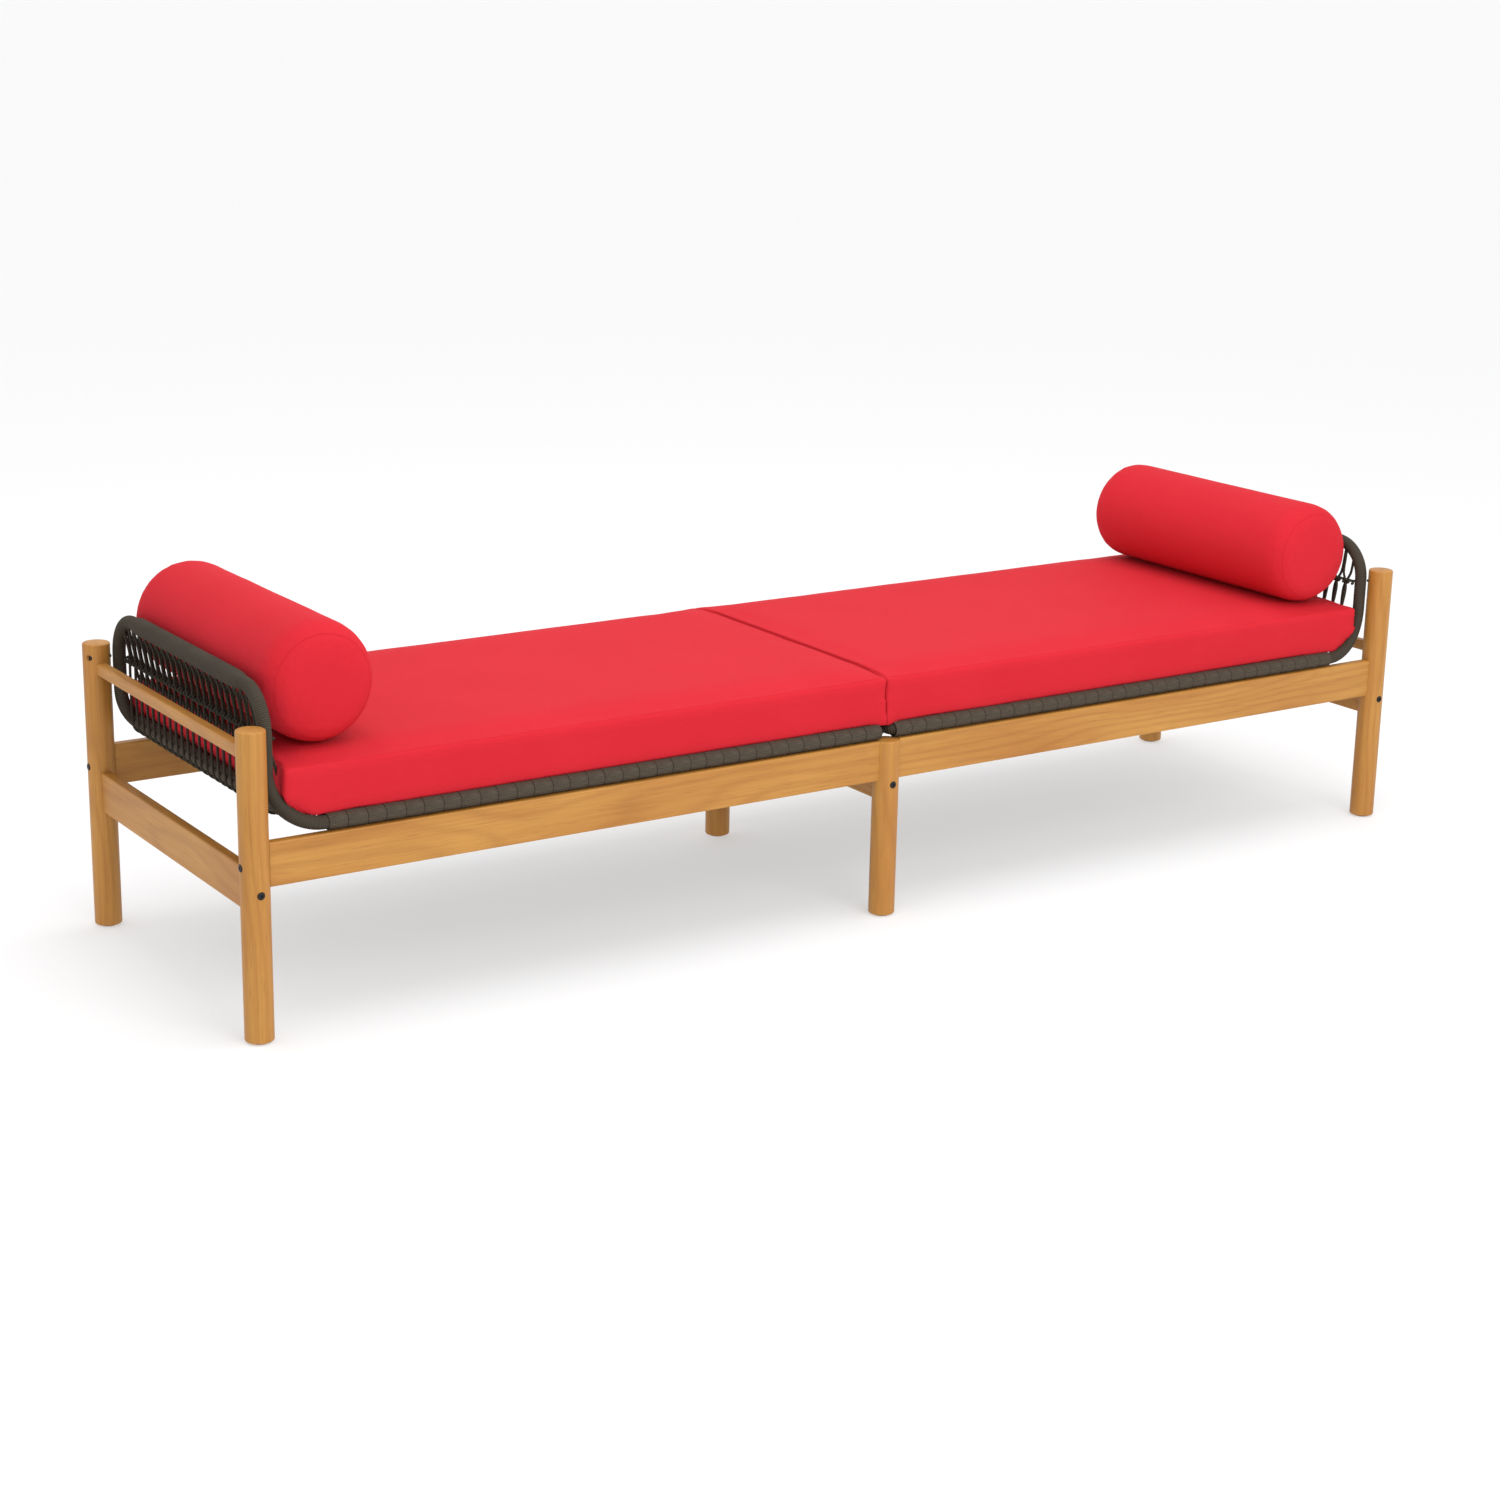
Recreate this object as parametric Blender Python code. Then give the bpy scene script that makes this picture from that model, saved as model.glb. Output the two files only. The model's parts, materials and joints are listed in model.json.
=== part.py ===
"""Garden daybed: round-leg hardwood frame, two corded tube seats, two seat cushions and two bolsters.

Frame of the model: +X along the bed, +Y to its back, +Z up, origin on the floor under the middle.
Lengths are metres. A piece that touches another keeps GAP to it.
"""

import math

import bmesh
import bpy
from mathutils import Matrix, Vector

# ---- Driving dimensions ----
GAP = 0.0003                  # clearance between pieces that touch

POST_SPACING_X = 2.300        # corner post axes, along the bed
POST_SPACING_Y = 0.614        # corner post axes, across the bed
POST_RADIUS = 0.0225
POST_HEIGHT = 0.484           # top of a corner post
POST_EASE = 0.003             # rounding of a post's ends

RAIL_THICKNESS = 0.018
SIDE_RAIL_TOP = 0.3105
SIDE_RAIL_HEIGHT = 0.069
END_RAIL_TOP = 0.269
END_RAIL_HEIGHT = 0.067
END_BAR_CENTRE_Z = {"left": 0.4435, "right": 0.332}    # thin bar between the corner posts, at each end
END_BAR_HEIGHT = 0.019
RAIL_EASE = 0.0025            # rounding of a rail's long edges
REAR_LEG_INSET = 0.095        # rear middle leg, inboard of the rear rail's centre line
RAIL_SLOT_REACH = 0.040       # half length of the slot cut through the rear middle leg

TUBE_RADIUS = 0.011           # seat tube with its fine cord cover
BAND_RADIUS = 0.0132          # seat tube where the seat cords go round it
TOP_BAR_RADIUS = 0.0145       # top bar under its full cord wrap
SEAT_TUBE_Y = 0.302           # seat tubes lie on the side rails
LOOP_Y = 0.287                # uprights of the end loop stand inside the posts
LOOP_X = 1.119
LOOP_TOP_Z = 0.530            # centre line of the loop's top bar
BEND_RADIUS = 0.085           # seat run to upright
TOP_CORNER_RADIUS = 0.065     # upright to top bar
CENTRE_BAR_X = 0.015          # inner cross tube of each seat frame
CENTRE_CORNER_RADIUS = 0.014
BEND_BAR_CLEARANCE = 0.0030   # the bend bar's square ends stop short of the leaning side tubes
TUBE_STUB = 0.004             # straight end of a side tube, where a cross tube is welded on

DECK_THICKNESS = 0.010
PANEL_THICKNESS = 0.010
PANEL_CLEARANCE = 0.001       # from the woven panel to the tubes round it

CUSHION_HEIGHT = 0.0885
CUSHION_HALF_WIDTH = 0.298
CUSHION_INNER_X = 0.0030
CUSHION_OUTER_X = 1.093
CUSHION_EDGE = 0.018          # rounding of a cushion's cross edges
CUSHION_SIDE_EDGE = 0.016     # rounding of its long edges
CUSHION_BEND_RADIUS = 0.048   # outer bottom corner, which follows the tube's bend

BOLSTER_RADIUS = 0.0925
BOLSTER_DENT = 0.001          # how far a cushion gives under its bolster
DENT_RUN = 0.030              # the slope down into it
BOLSTER_LENGTH = 0.558
BOLSTER_EDGE = 0.042
BOLSTER_X = 1.007
BOLSTER_Y = {"left": 0.014, "right": -0.004}    # the bolsters lie a little off centre

BOLT_RADIUS = 0.003
BOLT_HEAD_RADIUS = 0.006
BOLT_HEAD_HEIGHT = 0.0032
BOLT_HEAD_DOME = ((0.45, 1.0), (0.85, 0.8), (1.0, 0.5), (1.0, 0.0))    # shares of head radius and height
BOLT_HEAD_SINK = 0.0022       # head's seat below the face of the leg
BOLT_LENGTH = 0.085           # from under the head to the tip
BOLT_TIP_ROOM = 0.002         # bore beyond the tip
LEG_BORE_REACH = 0.030        # bolt bore beyond the leg's axis
CUTTER_OVERRUN = 0.010        # how far a cutter starts outside the piece
NUT_RADIUS = 0.005
NUT_LENGTH = 0.0145
NUT_FROM_POST_AXIS = 0.050
LOOP_BOLT_Z = 0.462
LOOP_BOLT_Y = 0.294
LOOP_BOLT_RADIUS = 0.0025
LOOP_BOLT_HEAD_RADIUS = 0.0045
LOOP_BOLT_HEAD_SINK = 0.005
GLIDE_RADIUS = 0.016
GLIDE_THICKNESS = 0.0022
GLIDE_EASE = 0.001
GLIDE_PIN_RADIUS = 0.002
GLIDE_PIN_LENGTH = 0.014

ROUND_SIDES = 24              # sides of a post
TUBE_SIDES = 12
SMALL_SIDES = 12
BOLSTER_SIDES = 24

# ---- Sizes that follow ----
HALF_X = POST_SPACING_X / 2
HALF_Y = POST_SPACING_Y / 2
POST_BOTTOM = GLIDE_THICKNESS + GAP
SIDE_RAIL_Z = SIDE_RAIL_TOP - SIDE_RAIL_HEIGHT / 2
END_RAIL_Z = END_RAIL_TOP - END_RAIL_HEIGHT / 2
REAR_LEG_Y = HALF_Y - REAR_LEG_INSET
SEAT_TUBE_Z = SIDE_RAIL_TOP + GAP + BAND_RADIUS
BEND_X = LOOP_X - BEND_RADIUS
UPRIGHT_TOP_Z = LOOP_TOP_Z - TOP_CORNER_RADIUS
TOP_BAR_HALF = LOOP_Y - TOP_CORNER_RADIUS
DECK_TOP = SEAT_TUBE_Z + BAND_RADIUS
CUSHION_BOTTOM = DECK_TOP + GAP
CUSHION_TOP = CUSHION_BOTTOM + CUSHION_HEIGHT
BOLSTER_Z = CUSHION_TOP - BOLSTER_DENT + GAP + BOLSTER_RADIUS
SITTING_END_X = BOLSTER_X - BOLSTER_RADIUS - GAP    # the free part of a cushion's top ends here
SIDES = {"left": -1, "right": 1}
ROWS = {"front": -1, "rear": 1}

# ---- Finishes: colour, roughness, metallic ----
FINISHES = {
    "wood": ((0.60, 0.33, 0.10), 0.5, 0.0),
    "cord": ((0.055, 0.048, 0.034), 0.8, 0.0),
    "fabric": ((0.75, 0.035, 0.05), 0.9, 0.0),
    "bolt_black": ((0.02, 0.02, 0.02), 0.4, 0.6),
    "zinc": ((0.55, 0.56, 0.58), 0.35, 1.0),
    "glide_plastic": ((0.05, 0.05, 0.05), 0.6, 0.0),
}


# ---- Scene helpers ----
def clear_scene():
    """Removes every object."""
    for item in list(bpy.data.objects):
        bpy.data.objects.remove(item, do_unlink=True)


def finish_material(node, finish):
    """Makes the node's own material in one of the finishes."""
    colour, roughness, metallic = FINISHES[finish]
    material = bpy.data.materials.new(node + "_" + finish)
    material.use_nodes = True
    shader = material.node_tree.nodes["Principled BSDF"]
    shader.inputs["Base Color"].default_value = (*colour, 1.0)
    shader.inputs["Roughness"].default_value = roughness
    shader.inputs["Metallic"].default_value = metallic
    return material


def add_empty(name, location=(0.0, 0.0, 0.0), parent=None):
    """Adds an empty that groups one assembly."""
    empty = bpy.data.objects.new(name, None)
    empty.location = location
    empty.parent = parent
    bpy.context.scene.collection.objects.link(empty)
    return empty


def add_piece(name, bm, finish, parent, location=(0.0, 0.0, 0.0), rotation=None):
    """Turns a bmesh into a named piece, its faces pointing out and its round sides smooth."""
    bmesh.ops.recalc_face_normals(bm, faces=bm.faces)
    mesh = bpy.data.meshes.new(name)
    bm.to_mesh(mesh)
    bm.free()
    mesh.shade_smooth()
    mesh.set_sharp_from_angle(angle=math.radians(35))
    mesh.materials.append(finish_material(name, finish))
    piece = bpy.data.objects.new(name, mesh)
    piece.parent = parent
    piece.location = location
    if rotation is not None:
        piece.rotation_euler = rotation.to_euler()
    bpy.context.scene.collection.objects.link(piece)
    return piece


def cut(piece, cutter_bm, name):
    """Subtracts a closed shape, given in world coordinates, from a piece."""
    bmesh.ops.recalc_face_normals(cutter_bm, faces=cutter_bm.faces)
    mesh = bpy.data.meshes.new(name)
    cutter_bm.to_mesh(mesh)
    cutter_bm.free()
    cutter = bpy.data.objects.new(name, mesh)
    cutter.hide_render = True
    cutter.display_type = "WIRE"
    bpy.context.scene.collection.objects.link(cutter)
    boolean = piece.modifiers.new(name, "BOOLEAN")
    boolean.operation = "DIFFERENCE"
    boolean.solver = "EXACT"
    boolean.object = cutter


def turn_to(direction):
    """Rotation that takes +Z to the direction."""
    return Vector((0.0, 0.0, 1.0)).rotation_difference(Vector(direction).normalized()).to_matrix()


# ---- Shapes ----
def turned(profile, sides):
    """Turns a profile of (radius, height) points, bottom to top, about +Z and closes both ends."""
    bm = bmesh.new()
    rings = []
    for radius, height in profile:
        ring = []
        for step in range(sides):
            angle = 2 * math.pi * step / sides
            ring.append(bm.verts.new((radius * math.cos(angle), radius * math.sin(angle), height)))
        rings.append(ring)
    for lower, upper in zip(rings, rings[1:]):
        for step in range(sides):
            after = (step + 1) % sides
            bm.faces.new((lower[step], lower[after], upper[after], upper[step]))
    bm.faces.new(list(reversed(rings[0])))
    bm.faces.new(rings[-1])
    return bm


def rod(start, end, radius, sides=SMALL_SIDES):
    """A plain round rod between two points, in world coordinates."""
    start, end = Vector(start), Vector(end)
    length = (end - start).length
    bm = turned([(radius, 0.0), (radius, length)], sides)
    bmesh.ops.transform(bm, verts=bm.verts, matrix=Matrix.Translation(start) @ turn_to(end - start).to_4x4())
    return bm


def prism(outline, depth):
    """Extrudes an outline in the XY plane along +Z, from -depth/2 to depth/2."""
    bm = bmesh.new()
    face = bm.faces.new([bm.verts.new((x, y, -depth / 2)) for x, y in outline])
    grown = bmesh.ops.extrude_face_region(bm, geom=[face])
    upper = [item for item in grown["geom"] if isinstance(item, bmesh.types.BMVert)]
    bmesh.ops.translate(bm, verts=upper, vec=(0.0, 0.0, depth))
    return bm


def arc(centre, radius, start, end, steps):
    """Points on an arc, angles in degrees, both ends included."""
    points = []
    for step in range(steps + 1):
        angle = math.radians(start + (end - start) * step / steps)
        points.append((centre[0] + radius * math.cos(angle), centre[1] + radius * math.sin(angle)))
    return points


def swept_tube(path, radius):
    """A round tube along a path of points, its ring carried along without twist, with flat ends."""
    points = [Vector(point) for point in path]
    bm = bmesh.new()
    rings = []
    side = None
    for index, point in enumerate(points):
        before = points[max(index - 1, 0)]
        after = points[min(index + 1, len(points) - 1)]
        tangent = (after - before).normalized()
        if side is None:
            side = tangent.orthogonal().normalized()
        side = (side - tangent * side.dot(tangent)).normalized()
        other = tangent.cross(side)
        ring = []
        for step in range(TUBE_SIDES):
            angle = 2 * math.pi * step / TUBE_SIDES
            ring.append(bm.verts.new(point + radius * (math.cos(angle) * side + math.sin(angle) * other)))
        rings.append(ring)
    for lower, upper in zip(rings, rings[1:]):
        for step in range(TUBE_SIDES):
            after = (step + 1) % TUBE_SIDES
            bm.faces.new((lower[step], lower[after], upper[after], upper[step]))
    bm.faces.new(list(reversed(rings[0])))
    bm.faces.new(rings[-1])
    return bm


# ---- Wooden frame ----
def add_leg(name, x, y, top, parent):
    """A turned leg with eased ends, standing on its glide."""
    height = top - POST_BOTTOM
    profile = arc((POST_RADIUS - POST_EASE, POST_EASE), POST_EASE, -90, 0, 2)
    profile += arc((POST_RADIUS - POST_EASE, height - POST_EASE), POST_EASE, 0, 90, 2)
    leg = add_piece(name, turned(profile, ROUND_SIDES), "wood", parent, (x, y, POST_BOTTOM))
    pin_hole = GLIDE_PIN_RADIUS + GAP
    cut(leg, rod((x, y, 0.0), (x, y, POST_BOTTOM + GLIDE_PIN_LENGTH), pin_hole), name + "_glide_bore")
    add_glide(name.replace("_leg", "").replace("_post", "") + "_glide", x, y, parent)
    return leg


def add_glide(name, x, y, parent):
    """A nail-on plastic glide: a low disc with its pin."""
    profile = [
        (GLIDE_RADIUS - GLIDE_EASE, 0.0),
        (GLIDE_RADIUS, GLIDE_EASE),
        (GLIDE_RADIUS, GLIDE_THICKNESS),
        (GLIDE_PIN_RADIUS, GLIDE_THICKNESS),
        (GLIDE_PIN_RADIUS, GLIDE_PIN_LENGTH),
    ]
    add_piece(name, turned(profile, SMALL_SIDES), "glide_plastic", parent, (x, y, 0.0))


def coped_end(distance, sign):
    """Outline points of a rail's end that fits round a leg whose axis is at the distance along the rail."""
    radius = POST_RADIUS + GAP
    reach = math.degrees(math.asin(RAIL_THICKNESS / 2 / radius))
    if sign > 0:
        return arc((distance, 0.0), radius, 180 + reach, 180 - reach, 6)
    return arc((distance, 0.0), radius, reach, -reach, 6)


def add_rail(name, start, end, height, z, parent, along_y=False, offset=0.0, square_end=False):
    """A flat rail between two legs, given by the legs' axes; a square end stops at the given place."""
    half = RAIL_THICKNESS / 2
    far_end = [(end, half), (end, -half)] if square_end else coped_end(end, 1)[::-1]
    bm = prism(coped_end(start, -1)[::-1] + far_end, height)
    long_edges = [edge for edge in bm.edges if edge.calc_length() > abs(end - start) / 2]
    bmesh.ops.bevel(
        bm, geom=long_edges, offset=RAIL_EASE, segments=2, profile=0.5, affect="EDGES", clamp_overlap=True
    )
    if along_y:
        return add_piece(name, bm, "wood", parent, (offset, 0.0, z), Matrix.Rotation(math.pi / 2, 3, "Z"))
    return add_piece(name, bm, "wood", parent, (0.0, offset, z))


def add_cap_bolt(name, head, direction, length, radius, head_radius, parent):
    """A bolt with a low domed head; head is the middle of the head's seat, direction points down the shank."""
    profile = [(head_radius * wide, -BOLT_HEAD_HEIGHT * high) for wide, high in BOLT_HEAD_DOME]
    profile += [(radius, 0.0), (radius, length)]
    add_piece(name, turned(profile, SMALL_SIDES), "bolt_black", parent, head, turn_to(direction))


def bolted_joint(name, leg, rail, axis_point, direction, pocket, parent):
    """A bolt through a leg into a rail's end, held by a barrel nut let into the rail on the pocket's side."""
    direction, pocket = Vector(direction), Vector(pocket)
    axis_point = Vector(axis_point)
    seat = axis_point - direction * (POST_RADIUS - BOLT_HEAD_SINK)
    outside = axis_point - direction * (POST_RADIUS + CUTTER_OVERRUN)
    tip = seat + direction * (BOLT_LENGTH + BOLT_TIP_ROOM)
    add_cap_bolt(name + "_bolt", seat, direction, BOLT_LENGTH, BOLT_RADIUS, BOLT_HEAD_RADIUS, parent)
    cut(leg, rod(outside, seat + direction * GAP, BOLT_HEAD_RADIUS + GAP), name + "_counterbore")
    leg_bore = rod(outside, axis_point + direction * LEG_BORE_REACH, BOLT_RADIUS + GAP)
    cut(leg, leg_bore, name + "_leg_bore")
    cut(rail, rod(axis_point, tip, BOLT_RADIUS + GAP), name + "_rail_bore")

    face = axis_point + direction * NUT_FROM_POST_AXIS + pocket * (RAIL_THICKNESS / 2)
    bottom = face - pocket * (NUT_LENGTH + GAP)
    cut(rail, rod(face + pocket * CUTTER_OVERRUN, bottom, NUT_RADIUS + GAP), name + "_nut_pocket")
    nut = add_piece(
        name + "_barrel_nut",
        turned([(NUT_RADIUS, 0.0), (NUT_RADIUS, NUT_LENGTH)], SMALL_SIDES),
        "zinc",
        parent,
        face,
        turn_to(-pocket),
    )
    cut(nut, rod(axis_point, tip, BOLT_RADIUS + GAP), name + "_nut_bore")


def add_loop_bolt(side, row, post, parent):
    """A bolt through a corner post that holds the upright of the end loop."""
    x_sign, y_sign = SIDES[side], ROWS[row]
    name = side + "_" + row + "_loop"
    y = LOOP_BOLT_Y * y_sign
    off_axis = HALF_Y - LOOP_BOLT_Y
    seat_x = HALF_X + math.sqrt(POST_RADIUS**2 - off_axis**2) - LOOP_BOLT_HEAD_SINK
    tube_x = LOOP_X + TUBE_RADIUS + GAP
    seat = Vector((seat_x * x_sign, y, LOOP_BOLT_Z))
    outside = Vector(((HALF_X + POST_RADIUS + CUTTER_OVERRUN) * x_sign, y, LOOP_BOLT_Z))
    inside = Vector((tube_x * x_sign, y, LOOP_BOLT_Z))
    inwards = Vector((-x_sign, 0.0, 0.0))
    length = seat_x - tube_x
    add_cap_bolt(name + "_bolt", seat, inwards, length, LOOP_BOLT_RADIUS, LOOP_BOLT_HEAD_RADIUS, parent)
    cut(post, rod(outside, seat + inwards * GAP, LOOP_BOLT_HEAD_RADIUS + GAP), name + "_counterbore")
    cut(post, rod(outside, inside, LOOP_BOLT_RADIUS + GAP), name + "_bore")


def build_wooden_frame():
    """Legs, rails, end bars and the hardware that joins them."""
    frame = add_empty("wooden_frame")
    posts = {}
    for side, x_sign in SIDES.items():
        for row, y_sign in ROWS.items():
            name = side + "_" + row + "_post"
            posts[side, row] = add_leg(name, HALF_X * x_sign, HALF_Y * y_sign, POST_HEIGHT, frame)
    middle_front = add_leg("middle_front_leg", 0.0, -HALF_Y, SIDE_RAIL_TOP, frame)
    middle_rear = add_leg("middle_rear_leg", 0.0, REAR_LEG_Y, END_RAIL_TOP, frame)

    side_size = (SIDE_RAIL_HEIGHT, SIDE_RAIL_Z, frame)
    rail_left = add_rail("front_left_rail", -HALF_X, 0.0, *side_size, offset=-HALF_Y)
    rail_right = add_rail("front_right_rail", 0.0, HALF_X, *side_size, offset=-HALF_Y)
    rail_rear = add_rail("rear_rail", -HALF_X, HALF_X, *side_size, offset=HALF_Y)
    end_size = (END_RAIL_HEIGHT, END_RAIL_Z, frame)
    cross_end = HALF_Y - RAIL_THICKNESS / 2 - GAP
    cross = add_rail("middle_cross_rail", -HALF_Y, cross_end, *end_size, along_y=True, square_end=True)
    wide, deep = RAIL_THICKNESS / 2 + GAP, RAIL_SLOT_REACH
    slot_outline = [(-wide, -deep), (wide, -deep), (wide, deep), (-wide, deep)]
    slot = prism(slot_outline, END_RAIL_HEIGHT + 2 * CUTTER_OVERRUN)
    slot_z = END_RAIL_Z + CUTTER_OVERRUN - GAP
    bmesh.ops.translate(slot, verts=slot.verts, vec=(0.0, REAR_LEG_Y, slot_z))
    cut(middle_rear, slot, "middle_rear_leg_slot")

    side_rails = {("left", "front"): rail_left, ("right", "front"): rail_right}
    for side, x_sign in SIDES.items():
        x = HALF_X * x_sign
        end_rail = add_rail(side + "_end_rail", -HALF_Y, HALF_Y, *end_size, along_y=True, offset=x)
        bar_z = END_BAR_CENTRE_Z[side]
        add_rail(side + "_end_bar", -HALF_Y, HALF_Y, END_BAR_HEIGHT, bar_z, frame, along_y=True, offset=x)
        for row, y_sign in ROWS.items():
            y = HALF_Y * y_sign
            post = posts[side, row]
            side_rail = side_rails.get((side, row), rail_rear)
            label = side + "_" + row
            side_bolt, end_bolt = (x, y, SIDE_RAIL_Z), (x, y, END_RAIL_Z)
            along, across = (-x_sign, 0, 0), (0, -y_sign, 0)
            bolted_joint(label + "_side", post, side_rail, side_bolt, along, (0, 1, 0), frame)
            bolted_joint(label + "_end", post, end_rail, end_bolt, across, along, frame)
            add_loop_bolt(side, row, post, frame)
    bolt_place = (0.0, -HALF_Y, END_RAIL_Z)
    bolted_joint("middle_front", middle_front, cross, bolt_place, (0, 1, 0), (1, 0, 0), frame)


# ---- Corded seat frames ----
def side_tube_path(x_sign, y_sign):
    """Centre line of a bent side tube: centre corner, seat run, end bend, upright and top corner."""
    points = []
    corner = (CENTRE_BAR_X + CENTRE_CORNER_RADIUS, SEAT_TUBE_Y - CENTRE_CORNER_RADIUS)
    points.append((CENTRE_BAR_X, corner[1] - TUBE_STUB, SEAT_TUBE_Z))
    for x, y in arc(corner, CENTRE_CORNER_RADIUS, 180, 90, 5):
        points.append((x, y, SEAT_TUBE_Z))
    points.append((BEND_X / 2, SEAT_TUBE_Y, SEAT_TUBE_Z))
    steps = 9
    for step in range(steps + 1):
        part = step / steps
        angle = part * math.pi / 2
        ease = part * part * (3 - 2 * part)
        points.append((
            BEND_X + BEND_RADIUS * math.sin(angle),
            SEAT_TUBE_Y + (LOOP_Y - SEAT_TUBE_Y) * ease,
            SEAT_TUBE_Z + BEND_RADIUS * (1 - math.cos(angle)),
        ))
    for y, z in arc((TOP_BAR_HALF, UPRIGHT_TOP_Z), TOP_CORNER_RADIUS, 0, 90, 6):
        points.append((LOOP_X, y, z))
    points.append((LOOP_X, TOP_BAR_HALF - TUBE_STUB, LOOP_TOP_Z))
    return [(x * x_sign, y * y_sign, z) for x, y, z in points]


def bend_bar_place():
    """X, Z and half length of the cross tube half way round the end bend."""
    half_turn = math.radians(45)
    x = BEND_X + BEND_RADIUS * math.sin(half_turn)
    z = SEAT_TUBE_Z + BEND_RADIUS * (1 - math.cos(half_turn))
    half = (SEAT_TUBE_Y + LOOP_Y) / 2 - TUBE_RADIUS - BEND_BAR_CLEARANCE
    return x, z, half


def deck_hook(y_sign):
    """Outline of the seat cords where they go round a side tube, from the deck's top to its underside."""
    centre = (SEAT_TUBE_Y, SEAT_TUBE_Z)
    underside = DECK_TOP - DECK_THICKNESS - SEAT_TUBE_Z
    inner = TUBE_RADIUS + GAP
    meet = 180 - math.degrees(math.asin(underside / inner))
    outer_arc = arc(centre, BAND_RADIUS, 90, -150, 16)
    inner_arc = arc(centre, inner, -150, meet, 20)
    return [(y * y_sign, z) for y, z in outer_arc + inner_arc]


def build_seat_frame(side):
    """One corded tube frame: five tubes, the woven seat deck and the woven end panel."""
    x_sign = SIDES[side]
    frame = add_empty(side + "_seat_frame")
    for row, y_sign in ROWS.items():
        name = side + "_" + row + "_side_tube"
        add_piece(name, swept_tube(side_tube_path(x_sign, y_sign), TUBE_RADIUS), "cord", frame)

    def cross_tube(name, x, z, half, radius):
        x *= x_sign
        add_piece(side + name, rod((x, -half, z), (x, half, z), radius, TUBE_SIDES), "cord", frame)

    bend_x, bend_z, bend_half = bend_bar_place()
    cross_tube("_top_bar", LOOP_X, LOOP_TOP_Z, TOP_BAR_HALF - TUBE_STUB - GAP, TOP_BAR_RADIUS)
    cross_tube("_bend_bar", bend_x, bend_z, bend_half, TUBE_RADIUS)
    centre_half = SEAT_TUBE_Y - CENTRE_CORNER_RADIUS - TUBE_STUB - GAP
    cross_tube("_centre_bar", CENTRE_BAR_X, SEAT_TUBE_Z, centre_half, TUBE_RADIUS)

    deck_start = CENTRE_BAR_X + CENTRE_CORNER_RADIUS + GAP
    deck_end = BEND_X - GAP
    outline = deck_hook(1) + deck_hook(-1)[::-1]
    deck = prism(outline, deck_end - deck_start)
    lay_along_x = Matrix(((0, 0, 1), (1, 0, 0), (0, 1, 0)))
    middle = (deck_start + deck_end) / 2 * x_sign
    add_piece(side + "_woven_seat", deck, "cord", frame, (middle, 0.0, 0.0), lay_along_x)

    rise = LOOP_TOP_Z - bend_z
    lean = LOOP_X - bend_x
    length = math.hypot(rise, lean)
    low = BAND_RADIUS + PANEL_CLEARANCE
    high = length - TOP_BAR_RADIUS - PANEL_CLEARANCE
    corner_at = (UPRIGHT_TOP_Z - bend_z) / rise * length
    corner_radius = TOP_CORNER_RADIUS - TUBE_RADIUS - PANEL_CLEARANCE
    stop = math.degrees(math.asin((high - corner_at) / corner_radius))
    right_half = [(TOP_BAR_HALF + corner_radius, low)]
    right_half += arc((TOP_BAR_HALF, corner_at), corner_radius, 0, stop, 5)
    outline = right_half + [(-y, s) for y, s in reversed(right_half)]
    panel = prism(outline, PANEL_THICKNESS)
    up = Vector((lean * x_sign, 0.0, rise)).normalized()
    across = Vector((0.0, 1.0, 0.0))
    stand_up = Matrix((across, up, across.cross(up))).transposed()
    add_piece(side + "_woven_end", panel, "cord", frame, (bend_x * x_sign, 0.0, bend_z), stand_up)


# ---- Cushions ----
def build_cushion(side):
    """A seat cushion whose outer bottom corner follows the bend of the tubes, and the bolster on it."""
    x_sign = SIDES[side]
    length = CUSHION_OUTER_X - CUSHION_INNER_X
    bend, edge = CUSHION_BEND_RADIUS, CUSHION_EDGE
    outline = arc((edge, edge), edge, 270, 180, 3)
    outline += arc((edge, CUSHION_HEIGHT - edge), edge, 180, 90, 3)
    sitting_end = SITTING_END_X - CUSHION_INNER_X
    dented = CUSHION_HEIGHT - BOLSTER_DENT
    outline += [(sitting_end, CUSHION_HEIGHT), (sitting_end + DENT_RUN, dented)]
    outline += arc((length - edge, dented - edge), edge, 90, 0, 3)
    outline += arc((length - bend, bend), bend, 0, -90, 7)
    bm = prism([(x * x_sign, z) for x, z in outline], 2 * CUSHION_HALF_WIDTH)
    rim = [edge_ for edge_ in bm.edges if abs(edge_.verts[0].co.z - edge_.verts[1].co.z) < 1e-6]
    bmesh.ops.bevel(
        bm, geom=rim, offset=CUSHION_SIDE_EDGE, segments=2, profile=0.5, affect="EDGES", clamp_overlap=True
    )
    on_edge = Matrix(((1, 0, 0), (0, 0, -1), (0, 1, 0)))
    cushion_axis = add_empty(side + "_cushion_lift", (CUSHION_INNER_X * x_sign, 0.0, CUSHION_BOTTOM))
    add_piece(side + "_seat_cushion", bm, "fabric", cushion_axis, (0.0, 0.0, 0.0), on_edge)

    half = BOLSTER_LENGTH / 2
    lower = arc((BOLSTER_RADIUS - BOLSTER_EDGE, BOLSTER_EDGE - half), BOLSTER_EDGE, -90, 0, 4)
    upper = arc((BOLSTER_RADIUS - BOLSTER_EDGE, half - BOLSTER_EDGE), BOLSTER_EDGE, 0, 90, 4)
    bolster_axis = add_empty(side + "_bolster_lift", (BOLSTER_X * x_sign, BOLSTER_Y[side], BOLSTER_Z))
    roll = turned(lower + upper, BOLSTER_SIDES)
    add_piece(side + "_bolster", roll, "fabric", bolster_axis, (0.0, 0.0, 0.0), turn_to((0, 1, 0)))


def main():
    """Builds the whole daybed."""
    clear_scene()
    build_wooden_frame()
    for side in SIDES:
        build_seat_frame(side)
        build_cushion(side)


main()
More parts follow.
